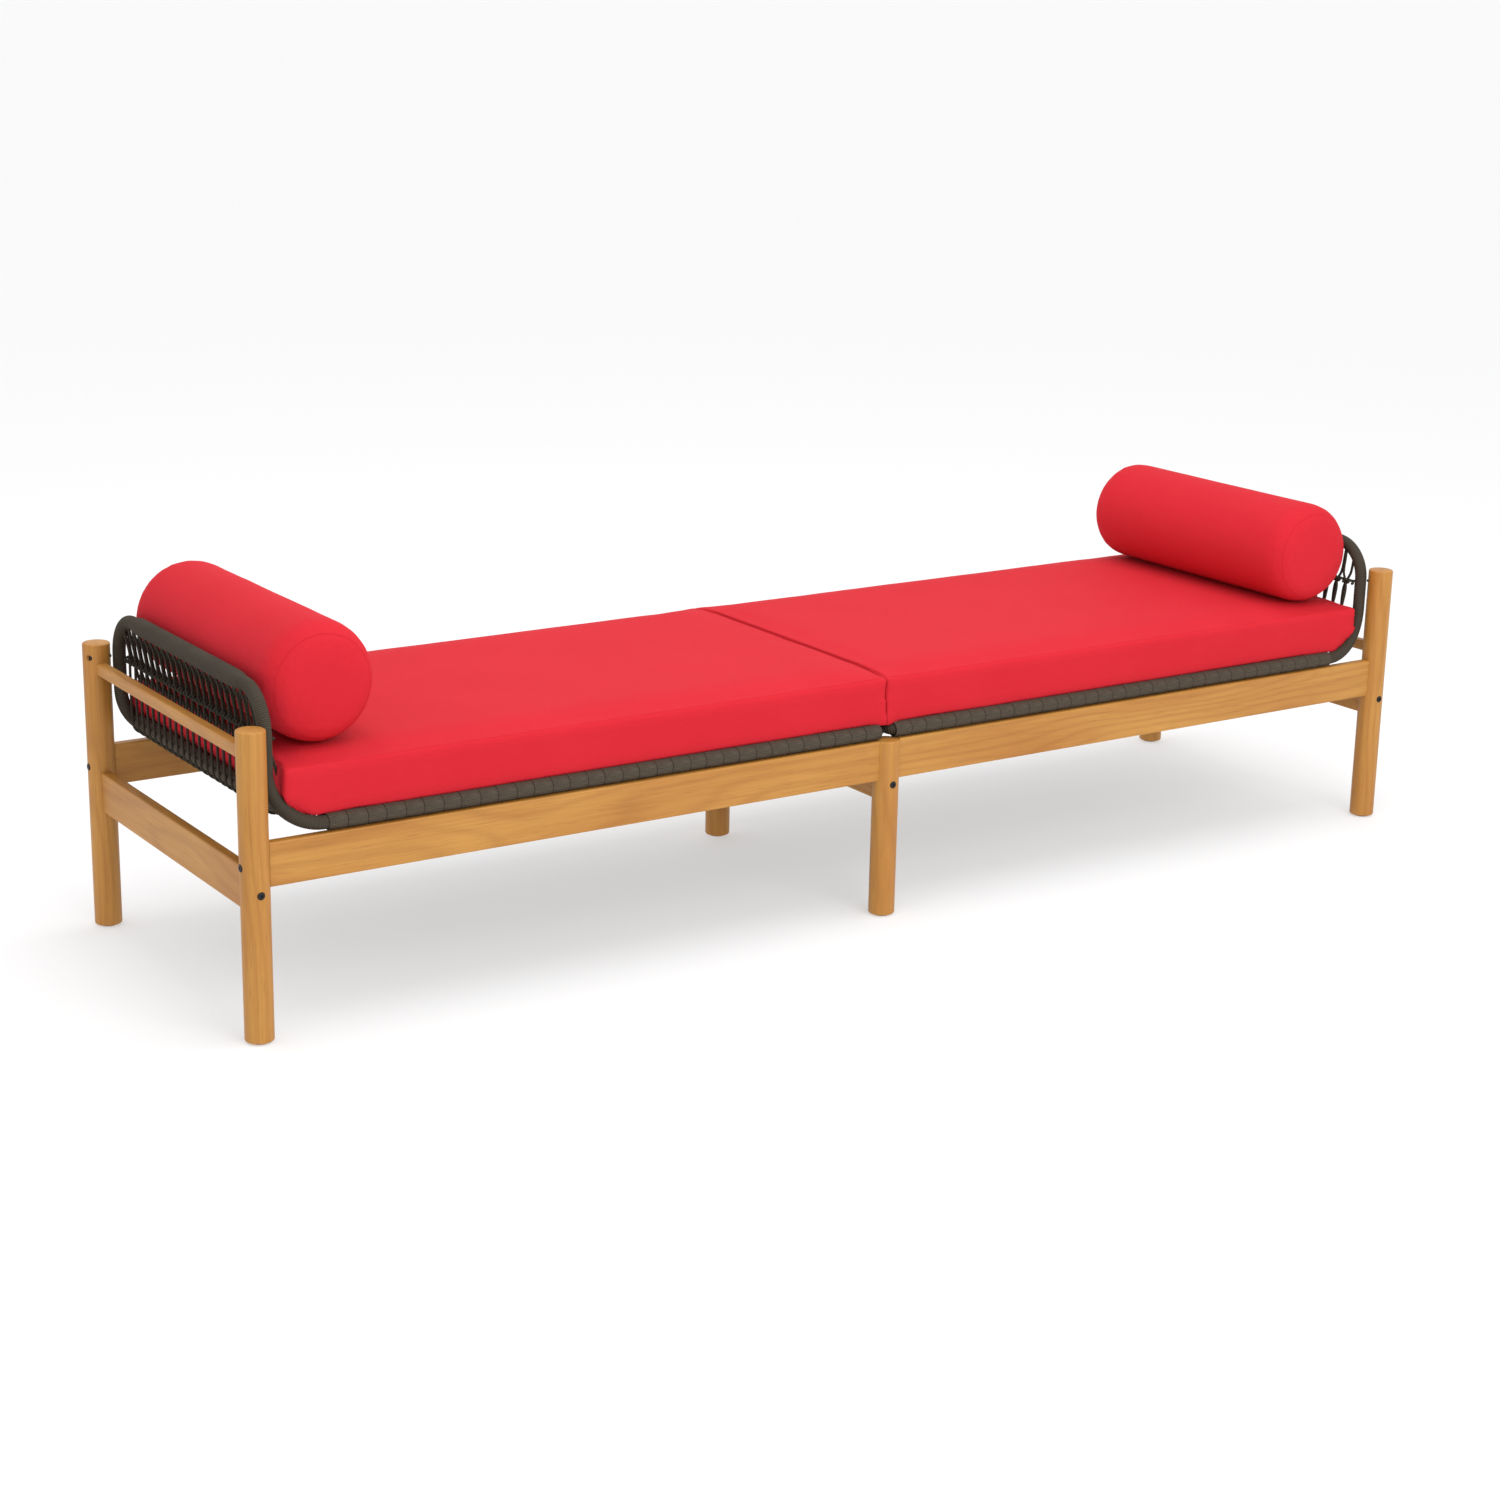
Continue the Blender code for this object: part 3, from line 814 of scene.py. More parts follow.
@dataclass
class WoodenFrame:
    """Turned legs in place of the plain ones, and wood on the rails and bars."""

    sides: int = 72
    ease: float = 0.003
    ease_steps: int = 4
    clearance: float = 0.0003
    bores: dict[str, tuple[str, ...]] = field(default_factory=dict)

    def __post_init__(self) -> None:
        """Lists the bolts that each leg is bored for."""
        for side in Side:
            for row in Row:
                corner = f"{side.label}_{row.label}"
                kinds = ("side", "end", "loop")
                self.bores[f"{corner}_post"] = tuple(f"{corner}_{kind}_bolt" for kind in kinds)
        self.bores["middle_front_leg"] = ("middle_front_bolt",)
        self.bores["middle_rear_leg"] = ()

    def _leg(self, node: str) -> bpy.types.Object:
        """Turns one leg with rounded ends."""
        low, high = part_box(node)
        middle = (low + high) / 2
        leg = cylinder(f"{node}_turned", (high.x - low.x) / 2, high.z - low.z, self.sides, middle)
        select_faces(leg, lambda face: abs(face.normal.z) > 0.9)
        bpy.ops.mesh.bevel(offset=self.ease, segments=self.ease_steps, affect="EDGES")
        bpy.ops.object.mode_set(mode="OBJECT")
        return leg

    def _counterbore(self, leg: bpy.types.Object, bolt: str) -> None:
        """Sinks the seat of one bolt head into a leg."""
        low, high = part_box(bolt)
        size = high - low
        along = max(Axis, key=lambda axis: size[axis.value])
        if "loop" in bolt:
            along = Axis.X
        middle = (low + high) / 2
        outward = 1.0 if middle[along.value] > 0.0 else -1.0
        end = high[along.value] if outward > 0 else low[along.value]
        radius = min(size[axis.value] for axis in Axis if axis is not along) / 2 + self.clearance
        depth = 0.040
        at = Vector(middle)
        at[along.value] = end + outward * (depth / 2 - Fastener.HEAD_HEIGHT)
        cut_away(leg, cylinder("counterbore", radius, depth, 40, at, along))

    def _slot(self, leg: bpy.types.Object) -> None:
        """Cuts the slot that the cross rail lies in."""
        low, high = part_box("middle_cross_rail")
        leg_low, leg_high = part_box("middle_rear_leg")
        deselect_all()
        top = leg_high.z + self.ease
        bottom = low.z - self.clearance
        at = ((low.x + high.x) / 2, (leg_low.y + leg_high.y) / 2, (top + bottom) / 2)
        bpy.ops.mesh.primitive_cube_add(size=1.0, location=at)
        cutter = bpy.context.object
        cutter.scale = (high.x - low.x + 2 * self.clearance, 2 * (leg_high.y - leg_low.y), top - bottom)
        settle(cutter)
        cut_away(leg, cutter)

    def build(self) -> None:
        """Builds the legs and finishes the rails."""
        for index, (node, bolts) in enumerate(self.bores.items()):
            leg = self._leg(node)
            for bolt in bolts:
                self._counterbore(leg, bolt)
            if node == "middle_rear_leg":
                self._slot(leg)
            make_active(leg)
            bpy.ops.object.shade_smooth_by_angle(angle=math.radians(40))
            dress(leg, WoodFinish(Axis.Z, 0.31 + 0.47 * index).material(), replaced=[node])
        rails = {
            "front_left_rail": Axis.X, "front_right_rail": Axis.X, "rear_rail": Axis.X,
            "middle_cross_rail": Axis.Y, "left_end_rail": Axis.Y, "right_end_rail": Axis.Y,
            "left_end_bar": Axis.Y, "right_end_bar": Axis.Y,
        }
        for index, (node, grain) in enumerate(rails.items()):
            redress_node(node, WoodFinish(grain, 0.83 + 0.59 * index).material())


@dataclass
class Fastener:
    """Bolts with a low domed head and a hexagon socket, and the small parts kept from the frame."""

    HEAD_HEIGHT = 0.0032

    head_sides: int = 40
    socket_radius: float = 0.0022
    socket_depth: float = 0.0018

    def _bolt(self, node: str, material: bpy.types.Material) -> None:
        """Models one bolt in place of its plain node."""
        low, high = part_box(node)
        size = high - low
        along = Axis.Y if node == "middle_front_bolt" or "_end_" in node else Axis.X
        others = [axis.value for axis in Axis if axis is not along]
        head_radius = min(size[others[0]], size[others[1]]) / 2
        shank_radius = 0.0025 if "loop" in node else 0.003
        middle = (low + high) / 2
        outward = 1.0 if middle[along.value] > 0.0 else -1.0
        end = high[along.value] if outward > 0 else low[along.value]
        at = Vector(middle)
        at[along.value] = end - outward * self.HEAD_HEIGHT / 2
        bolt = cylinder(f"{node}_socket_head", head_radius, self.HEAD_HEIGHT, self.head_sides, at, along)

        select_faces(bolt, lambda face: face.normal[along.value] * outward > 0.9)
        bpy.ops.mesh.bevel(offset=head_radius * 0.28, segments=4, affect="EDGES")
        bpy.ops.object.mode_set(mode="OBJECT")
        select_faces(bolt, lambda face: face.normal[along.value] * outward < -0.9)
        bpy.ops.mesh.inset(thickness=head_radius - shank_radius)
        reach = [0.0, 0.0, 0.0]
        reach[along.value] = -outward * (size[along.value] - self.HEAD_HEIGHT)
        bpy.ops.mesh.extrude_region_move(TRANSFORM_OT_translate={"value": reach})
        bpy.ops.object.mode_set(mode="OBJECT")

        at[along.value] = end
        radius = self.socket_radius * head_radius / 0.006
        cut_away(bolt, cylinder("socket", radius, 2 * self.socket_depth, 6, at, along))
        make_active(bolt)
        bpy.ops.object.shade_smooth_by_angle(angle=math.radians(35))
        dress(bolt, material, replaced=[node])

    def build(self) -> None:
        """Builds the bolts and finishes nuts and glides."""
        black = MetalFinish("bolt_black", (0.012, 0.012, 0.013), 0.5, 0.36).material()
        zinc = MetalFinish("zinc_plate", (0.55, 0.56, 0.58), 1.0, 0.30).material()
        nylon = PlasticFinish("glide_nylon").material()
        for node in sorted(frame["nodes"]):
            if node.endswith("_bolt"):
                self._bolt(node, black)
            elif node.endswith("_barrel_nut"):
                redress_node(node, zinc)
            elif node.endswith("_glide"):
                redress_node(node, nylon)


# ---- Corded seats --------------------------------------------------------------------------------


@dataclass
class SeatFrame:
    """One seat: wound tubes, the banded deck and the corded end panel."""

    side: Side
    bend_radius: float = 0.085
    top_corner_radius: float = 0.065
    centre_corner_radius: float = 0.014
    stub: float = 0.004
    winding_pitch: float = 0.003
    winding_groove: float = 0.0006
    tube_sides: int = 18
    band_width: float = 0.0325
    band_thickness: float = 0.0017
    band_pitch: float = 0.0635
    first_band: float = 0.0150
    band_count: int = 16
    under_band_width: float = 0.0300
    strap_width: float = 0.0425
    strap_pitch: float = 0.0435
    strap_count: int = 13
    cord_radius: float = 0.0024
    cord_pitch: float = 0.0235
    cord_count: int = 23
    twine_radius: float = 0.0022

    def __post_init__(self) -> None:
        """Reads the seat's places from the frame."""
        label, sign = self.side.label, self.side.value
        bar_low, bar_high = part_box(f"{label}_bend_bar")
        low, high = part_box(f"{label}_front_side_tube")
        top_low, top_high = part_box(f"{label}_top_bar")
        centre_low, centre_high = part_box(f"{label}_centre_bar")
        self.tube_radius = (bar_high.z - bar_low.z) / 2
        self.seat_z = low.z + self.tube_radius
        self.seat_y = -low.y - self.tube_radius
        self.loop_x = sign * (top_low.x + top_high.x) / 2
        self.top_radius = (top_high.z - top_low.z) / 2
        self.top_z = (top_low.z + top_high.z) / 2
        self.top_half = top_high.y
        self.loop_y = self.top_half + self.stub + self.top_corner_radius
        self.bend_x = self.loop_x - self.bend_radius
        self.bar_x = sign * (bar_low.x + bar_high.x) / 2
        self.bar_z = (bar_low.z + bar_high.z) / 2
        self.bar_half = bar_high.y
        self.centre_x = sign * (centre_low.x + centre_high.x) / 2
        self.centre_half = centre_high.y
        self.deck_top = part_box(f"{label}_woven_seat")[1].z
        self.winding = WindingFinish(f"{label}_winding", self.winding_pitch).material()
        self.rope = RopeFinish(f"{label}_rope").material()
        self.webbing = WebbingFinish(f"{label}_webbing").material()

    def _mirror(self, points: np.ndarray) -> np.ndarray:
        """Brings points with X outward from the bed's middle to this seat's side."""
        return np.asarray(points, float) * np.array([self.side.value, 1.0, 1.0])

    def _wound(self, name: str, path: np.ndarray, radius: "float | np.ndarray", replaced: str) -> None:
        """Builds a tube with its cord winding."""
        strands = Strands()
        strands.round(path, radius, self.tube_sides, self.winding_pitch, self.winding_groove)
        dress(strands.piece(name), self.winding, replaced=[replaced])

    def _side_tube(self, row: Row) -> None:
        """Builds a bent side tube: centre corner, seat run, end bend, upright and top corner."""
        corner = (self.centre_x + self.centre_corner_radius, self.seat_y - self.centre_corner_radius)
        points = [(self.centre_x, corner[1] - self.stub, self.seat_z)]
        points += [(x, y, self.seat_z) for x, y in arc_points(corner, self.centre_corner_radius, 180, 90, 12)]
        for share in np.linspace(0.0, 1.0, 25):
            angle = share * math.pi / 2
            ease = share * share * (3 - 2 * share)
            points.append((
                self.bend_x + self.bend_radius * math.sin(angle),
                self.seat_y + (self.loop_y - self.seat_y) * ease,
                self.seat_z + self.bend_radius * (1 - math.cos(angle)),
            ))
        top_centre = (self.top_half + self.stub, self.top_z - self.top_corner_radius)
        points += [(self.loop_x, y, z) for y, z in arc_points(top_centre, self.top_corner_radius, 0, 90, 16)]
        points.append((self.loop_x, self.top_half, self.top_z))
        path = self._mirror(np.array(points)) * np.array([1.0, row.value, 1.0])
        path = even_path(path, self.winding_pitch / 4)
        name = f"{self.side.label}_{row.label}_side_tube"
        self._wound(f"{name}_wound", path, self.tube_radius, name)

    def _cross_tube(
        self, kind: str, x: float, z: float, half: float, radius: float, end_radius: float
    ) -> None:
        """Builds a straight cross tube that may taper to its ends."""
        ends = self._mirror(np.array([(x, -half, z), (x, half, z)]))
        path = even_path(ends, self.winding_pitch / 4)
        rise = np.clip((half - np.abs(path[:, 1])) / 0.030, 0.0, 1.0)
        taper = end_radius + (radius - end_radius) * rise * rise * (3 - 2 * rise)
        name = f"{self.side.label}_{kind}"
        self._wound(f"{name}_wound", path, taper, name)

    def _bands(self) -> None:
        """Builds the bands across the deck and round both side tubes, every second one tight to them."""
        strands = Strands()
        sway = self.band_thickness + 0.0002
        level = self.deck_top - self.band_thickness / 2 - sway - 0.0002
        outer = self.deck_top - self.seat_z - self.band_thickness / 2 - 0.0001
        inner = self.tube_radius + self.band_thickness / 2 + 0.0001
        for index in range(2 * self.band_count):
            raised = index % 2 == 0
            wrap = outer if raised else inner
            width = self.band_width if raised else self.under_band_width
            x = self.first_band + self.band_pitch / 2 * index + self.band_width / 2
            if x + width / 2 > self.bend_x + 0.004:
                break
            y = np.linspace(-self.seat_y + 0.006, self.seat_y - 0.006, 200)
            phase = np.cos(math.pi * y / self.strap_pitch) * (1 if raised else -1)
            calm = np.clip((self.seat_y - 0.016 - np.abs(y)) / 0.010, 0.0, 1.0)
            z = level + sway * phase * calm
            lift = 1.0 - np.clip((self.seat_y - np.abs(y)) / 0.030, 0.0, 1.0)
            z = z + (self.seat_z + wrap - z) * lift * lift * (3 - 2 * lift)
            hook = arc_points((self.seat_y, self.seat_z), wrap, 84, -105, 26)
            tail = np.array([
                (self.seat_y - 0.022, self.seat_z - 0.004), (self.seat_y - 0.040, level - 0.0045)
            ])
            far = np.vstack((hook, tail))
            near = (far * np.array([-1.0, 1.0]))[::-1]
            run = np.column_stack((y, z))[np.abs(y) < self.seat_y - 0.008]
            outline = np.vstack((near, run, far))
            path = np.column_stack((np.full(len(outline), x), outline))
            strands.flat(even_path(self._mirror(path), 0.0030), (1.0, 0.0, 0.0), width, self.band_thickness)
        name = f"{self.side.label}_woven_seat"
        dress(strands.piece(f"{name}_bands"), self.webbing, replaced=[name])

    def _deck_straps(self) -> None:
        """Builds the straps along the deck, over and under the bands, from the centre bar to the bend bar."""
        strands = Strands()
        sway = self.band_thickness + 0.0002
        level = self.deck_top - self.band_thickness / 2 - sway - 0.0002
        wrap = self.tube_radius + self.band_thickness / 2 + 0.0002
        start = arc_points((self.centre_x, self.seat_z), wrap, 250, 95, 14)
        curve = 0.0660
        rise = arc_points((self.bend_x - 0.002, level + curve), curve, -90, -48, 10)
        finish = arc_points((self.bar_x, self.bar_z), wrap, 150, -20, 16)
        first = self.first_band + self.band_width / 2
        for index in range(self.strap_count):
            place = index - (self.strap_count - 1) / 2
            x = np.arange(self.centre_x + 0.016, self.bend_x - 0.006, 0.004)
            side = 1 if round(place) % 2 == 0 else -1
            z = level - sway * side * np.cos(2 * math.pi * (x - first) / self.band_pitch)
            profile = np.vstack((start, np.column_stack((x, z)), rise, finish))
            across = np.full(len(profile), place * self.strap_pitch)
            path = even_path(self._mirror(np.column_stack((profile[:, 0], across, profile[:, 1]))), 0.004)
            strands.flat(path, (0.0, 1.0, 0.0), self.strap_width, self.band_thickness)
        piece = strands.piece(f"{self.side.label}_woven_seat_straps")
        dress(piece, self.webbing)

    def _panel_point(self, across: float, up: float, out: float) -> tuple[float, float, float]:
        """A point in the leaning end panel: across it, up from the bend bar and out from its plane."""
        lean = self.loop_x - self.bar_x
        rise = self.top_z - self.bar_z
        length = math.hypot(lean, rise)
        x = self.bar_x + lean * up / length + rise * out / length
        z = self.bar_z + rise * up / length - lean * out / length
        return x, across, z

    def _panel(self) -> None:
        """Builds the cords of the end panel and the twined row that gathers them."""
        strands = Strands()
        length = math.hypot(self.loop_x - self.bar_x, self.top_z - self.bar_z)
        row_up = length * 0.60
        spread = self.cord_pitch / 4
        wrap = self.tube_radius + self.cord_radius
        corner = self.top_half + self.stub
        for index in range(self.cord_count):
            y = (index - (self.cord_count - 1) / 2) * self.cord_pitch
            over = max(0.0, abs(y) + spread - corner)
            drop = self.top_corner_radius - math.sqrt(max(0.0, self.top_corner_radius**2 - over**2))
            top = length - drop
            hold = self.top_radius if over == 0.0 else self.tube_radius
            loop = arc_points((0.0, 0.0), wrap, 20, -200, 14)
            points = [
                (y - spread, top - 0.002, hold * 0.45),
                (y - spread, top - hold * 1.05, hold * 0.45),
                (y - spread, (top + row_up) / 2 + 0.012, 0.0045),
                (y - spread, row_up + 0.015, 0.0031),
                (y + spread, row_up - 0.015, 0.0031),
                (y + spread * 1.4, 0.034, wrap * 0.80),
            ]
            shift = np.linspace(spread * 1.6, -spread * 1.6, len(loop))
            points += [(y + s, up, out) for s, (out, up) in zip(shift, loop)]
            points += [
                (y - spread * 1.4, 0.034, -wrap * 0.80),
                (y - spread, row_up - 0.015, -0.0031),
                (y + spread, row_up + 0.015, -0.0031),
                (y + spread, (top + row_up) / 2 + 0.012, -0.0045),
                (y + spread, top - hold * 1.05, -hold * 0.45),
                (y + spread, top - 0.002, -hold * 0.45),
            ]
            path = smooth_path([self._panel_point(*point) for point in points], 0.0045)
            strands.round(self._mirror(path), self.cord_radius, 8)
        half = self.loop_y - self.tube_radius * 0.4
        across = np.linspace(-half, half, 420)
        for start in (0.0, math.pi):
            turn = 2 * math.pi * across / self.cord_pitch + start
            points = [
                self._panel_point(y, row_up + 0.0030 * math.sin(t), 0.0064 * math.cos(t))
                for y, t in zip(across, turn)
            ]
            strands.round(self._mirror(np.array(points)), self.twine_radius, 8)
        name = f"{self.side.label}_woven_end"
        dress(strands.piece(f"{name}_cords"), self.rope, replaced=[name])

    def build(self) -> None:
        """Builds the whole seat."""
        for row in Row:
            self._side_tube(row)
        self._cross_tube("top_bar", self.loop_x, self.top_z, self.top_half, self.top_radius, self.tube_radius)
        tube = self.tube_radius
        self._cross_tube("bend_bar", self.bar_x, self.bar_z, self.bar_half, tube, tube)
        self._cross_tube(
            "centre_bar", self.centre_x, self.seat_z, self.centre_half, self.tube_radius, self.tube_radius
        )
        self._bands()
        self._deck_straps()
        self._panel()


# ---- Cushions and bolsters -----------------------------------------------------------------------


@dataclass
class Padding:
    """Swells a closed shape like stuffed cloth and traces seams on it."""

    voxel: float
    pressure: float = 4.0
    frames: int = 20
    cap: float = 0.006
    unevenness: float = 0.0006

    def stuffed(self, node: str, name: str, shrink: float) -> bpy.types.Object:
        """Copies a node, remeshes it evenly, swells it by cloth pressure and roughens it slightly.

        Args:
            node: The plain solid.
            name: The new piece's name.
            shrink: How much smaller the cloth starts, on every side.

        Returns:
            The swollen piece.
        """
        low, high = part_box(node)
        middle, size = (low + high) / 2, high - low
        mesh = frame["nodes"][node].data.copy()
        mesh.name = name
        piece = bpy.data.objects.new(name, mesh)
        bpy.context.scene.collection.objects.link(piece)
        make_active(piece)
        bpy.ops.object.mode_set(mode="EDIT")
        bpy.ops.mesh.select_all(action="SELECT")
        bpy.ops.mesh.remove_doubles(threshold=1e-5)
        bpy.ops.object.mode_set(mode="OBJECT")
        for vertex in mesh.vertices:
            offset = vertex.co - middle
            vertex.co = middle + Vector(o * (1 - 2 * shrink / s) for o, s in zip(offset, size))
        remesh = piece.modifiers.new("even_mesh", "REMESH")
        remesh.mode = "VOXEL"
        remesh.voxel_size = self.voxel
        apply_modifiers(piece)
        self._swell(piece)
        self._uneven(piece)
        return piece

    def _swell(self, piece: bpy.types.Object) -> None:
        """Runs the cloth under pressure and keeps each point within the cap of where it was."""
        cloth = piece.modifiers.new("cloth", "CLOTH")
        cloth.settings.quality = 5
        cloth.settings.use_pressure = True
        cloth.settings.uniform_pressure_force = self.pressure
        cloth.settings.effector_weights.gravity = 0.0
        cloth.point_cache.frame_start = 1
        cloth.point_cache.frame_end = self.frames
        scene = bpy.context.scene
        for step in range(1, self.frames + 1):
            scene.frame_set(step)
        swollen = piece.evaluated_get(bpy.context.evaluated_depsgraph_get())
        count = len(piece.data.vertices)
        before, after = np.empty(count * 3, np.float32), np.empty(count * 3, np.float32)
        piece.data.vertices.foreach_get("co", before)
        swollen.data.vertices.foreach_get("co", after)
        move = (after - before).reshape(-1, 3)
        length = np.linalg.norm(move, axis=1)
        share = np.minimum(1.0, self.cap / np.maximum(length, 1e-9))
        piece.modifiers.remove(cloth)
        scene.frame_set(1)
        piece.data.vertices.foreach_set("co", (before.reshape(-1, 3) + move * share[:, None]).ravel())
        piece.data.update()
        LOG.info("%s: swelled by up to %.1f mm", piece.name, 1000 * min(self.cap, float(length.max())))

    def _uneven(self, piece: bpy.types.Object) -> None:
        """Moves each point a little along its normal, in slow waves."""
        normals = [vertex.normal.copy() for vertex in piece.data.vertices]
        for vertex, normal in zip(piece.data.vertices, normals):
            wave = noise.noise(vertex.co * 9.0) + 0.5 * noise.noise(vertex.co * 26.0)
            vertex.co += normal * (wave * self.unevenness)

    @staticmethod
    def fill_box(piece: bpy.types.Object, low: Vector, high: Vector) -> None:
        """Stretches a piece evenly along each axis until it fills a box.

        Args:
            piece: The stuffed piece.
            low: The box's lowest corner.
            high: The box's highest corner.
        """
        places = np.array([vertex.co for vertex in piece.data.vertices])
        start, size = places.min(axis=0), np.ptp(places, axis=0)
        places = np.array(low) + (places - start) / size * np.array(high - low)
        piece.data.vertices.foreach_set("co", places.astype(np.float32).ravel())
        piece.data.update()

    def smooth(self, piece: bpy.types.Object) -> None:
        """Adds one level of subdivision and smooth shading."""
        subdivision = piece.modifiers.new("smooth", "SUBSURF")
        subdivision.levels = 1
        subdivision.render_levels = 1
        apply_modifiers(piece)
        piece.data.shade_smooth()

    def seam(self, piece: bpy.types.Object, loop: np.ndarray, name: str, radius: float) -> bpy.types.Object:
        """Lays a fine seam bead on a piece along a closed loop.

        Args:
            piece: The stuffed piece.
            loop: The loop's points, near the surface.
            name: The bead's name.
            radius: The bead's radius.

        Returns:
            The bead.
        """
        surface = BVHTree.FromObject(piece, bpy.context.evaluated_depsgraph_get())
        laid = []
        for point in loop:
            place, normal, _, _ = surface.find_nearest(Vector(point))
            laid.append(place - normal * radius * 0.35)
        path = np.array(laid)
        path = (np.roll(path, 1, 0) + 2 * path + np.roll(path, -1, 0)) / 4
        strands = Strands()
        strands.round(path, radius, 6, closed=True)
        return strands.piece(name)


@dataclass
class SeatCushion:
    """A seat cushion of boxed canvas over foam, dented under its bolster."""

    side: Side
    canvas: bpy.types.Material
    thread: bpy.types.Material
    padding: Padding = field(default_factory=lambda: Padding(0.008))
    shrink: float = 0.003
    seam_radius: float = 0.0010
    bend_radius: float = 0.048
    crown: float = 0.0095
    crown_reach: float = 0.085
    edge_radius: float = 0.030
    overhang: float = 0.004
    middle_gap: float = 0.0008
    end_bulge: float = 0.004
    edge_droop: float = 0.004
    droop_reach: float = 0.012
    panel_half_width: float = 0.284
    bottom_squareness: float = 0.85
    top_squareness: float = 0.60
    bend_centre: tuple[float, float] = (1.034, 0.409)
    bend_reach: float = 0.0712
    side_reach: float = 0.0738

    def _square_edges(self, cover: bpy.types.Object, low: Vector, high: Vector) -> None:
        """Draws the rounded edges out so that the panels meet in tighter corners.

        Args:
            cover: The cushion's cover.
            low: Lowest corner of its plain solid.
            high: Highest corner of its plain solid.
        """
        radius = self.edge_radius
        for vertex in cover.data.vertices:
            place = vertex.co
            across, upward, along = (1, low.y, high.y), (2, low.z, high.z), (0, low.x, high.x)
            pairs = ((across, upward), (along, upward), (across, along))
            for (first, low_a, high_a), (second, low_b, high_b) in pairs:
                core_a = min(max(place[first], low_a + radius), high_a - radius)
                core_b = min(max(place[second], low_b + radius), high_b - radius)
                a, b = place[first] - core_a, place[second] - core_b
                larger = max(abs(a), abs(b))
                if min(abs(a), abs(b)) < 1e-6 or larger < radius / 2:
                    continue
                share = self.bottom_squareness if place.z < (low.z + high.z) / 2 else self.top_squareness
                stretch = (math.hypot(a, b) / larger) ** share
                place[first] = core_a + a * stretch
                place[second] = core_b + b * stretch

    def _clear_bend(self, cover: bpy.types.Object) -> None:
        """Holds the outer bottom corner inside the bend of the tubes."""
        bend_x, bend_z = self.bend_centre
        for vertex in cover.data.vertices:
            place = vertex.co
            out, down = place.x * self.side.value - bend_x, bend_z - place.z
            reach = math.hypot(out, down)
            limit = self.bend_reach if abs(place.y) < self.panel_half_width else self.side_reach
            if out < 0.0 or down < 0.0 or reach < limit:
                continue
            place.x = (bend_x + out * limit / reach) * self.side.value
            place.z = bend_z - down * limit / reach

    def _settle_on_neighbours(self, cover: bpy.types.Object, low: Vector, high: Vector) -> None:
        """Keeps the cover off the deck, the other cushion and the bolster, and bulges its outer end out
        toward the end panel.

        Args:
            cover: The cushion's cover.
            low: Lowest corner of its plain solid.
            high: Highest corner of its plain solid.
        """
        roll_low, roll_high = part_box(f"{self.side.label}_bolster")
        roll_x, roll_z = (roll_low.x + roll_high.x) / 2, (roll_low.z + roll_high.z) / 2
        roll_radius = (roll_high.z - roll_low.z) / 2 + 0.0008
        half = (roll_high.y - roll_low.y) / 2
        middle_z = (low.z + high.z) / 2
        outer = max(abs(low.x), abs(high.x))
        for vertex in cover.data.vertices:
            place = vertex.co
            from_side = max(0.0, min(place.y - low.y, high.y - place.y)) / self.crown_reach
            fall = max(0.0, 1.0 - from_side) ** 2
            raised = min(1.0, max(0.0, (place.z - middle_z) / (high.z - middle_z)))
            place.z -= self.crown * fall * raised
            overhang = (abs(place.y) - (high.y + self.overhang - self.droop_reach)) / self.droop_reach
            droop = self.edge_droop * min(1.0, max(0.0, overhang)) * (1.0 - raised)
            place.z = max(place.z, low.z + 0.0002) - droop
            outward = place.x * self.side.value
            height = (place.z - middle_z) / (high.z - middle_z)
            beside = min(1.0, max(0.0, (abs(place.y) - 0.262) / 0.030))
            if outward > outer - self.edge_radius:
                near_end = (outward - outer + self.edge_radius) / self.edge_radius
                outward += self.end_bulge * beside * max(0.0, 1.0 - height * height) * min(1.0, near_end)
            place.x = max(outward, self.middle_gap) * self.side.value
            reach = abs(place.x - roll_x)
            if reach < roll_radius and place.z > high.z - 0.02:
                under = roll_z - math.sqrt(roll_radius**2 - reach**2)
                beyond = max(0.0, abs(place.y) - half + 0.03)
                place.z = min(place.z, under + beyond * beyond * 4.0)

    def _top_loop(self, low: Vector, high: Vector) -> np.ndarray:
        """The seam round the top, just under its edge."""
        inset, z = 0.002, high.z - 0.006
        corners = ((low.x + inset, low.y + inset), (high.x - inset, low.y + inset),
                   (high.x - inset, high.y - inset), (low.x + inset, high.y - inset))
        points = np.array([(x, y, z) for x, y in (*corners, corners[0])])
        return even_path(points, 0.006)[:-1]

    def _bottom_loop(self, low: Vector, high: Vector) -> np.ndarray:
        """The seam round the bottom panel, which follows the bend up to the outer end."""
        sign = self.side.value
        inner, outer = sorted((abs(low.x), abs(high.x)))
        edge = 0.004
        outline = [(inner + edge, low.z + edge)]
        bend = self.bend_radius
        turn = arc_points((outer - bend, low.z + bend), bend, -90, 0, 10)
        outline += [tuple(point) for point in turn]
        front = [(x * sign, low.y + edge * 0.3, z) for x, z in outline]
        rear = [(x, high.y - edge * 0.3, z) for x, _, z in reversed(front)]
        points = np.array([*front, *rear, front[0]])
        return even_path(points, 0.006)[:-1]

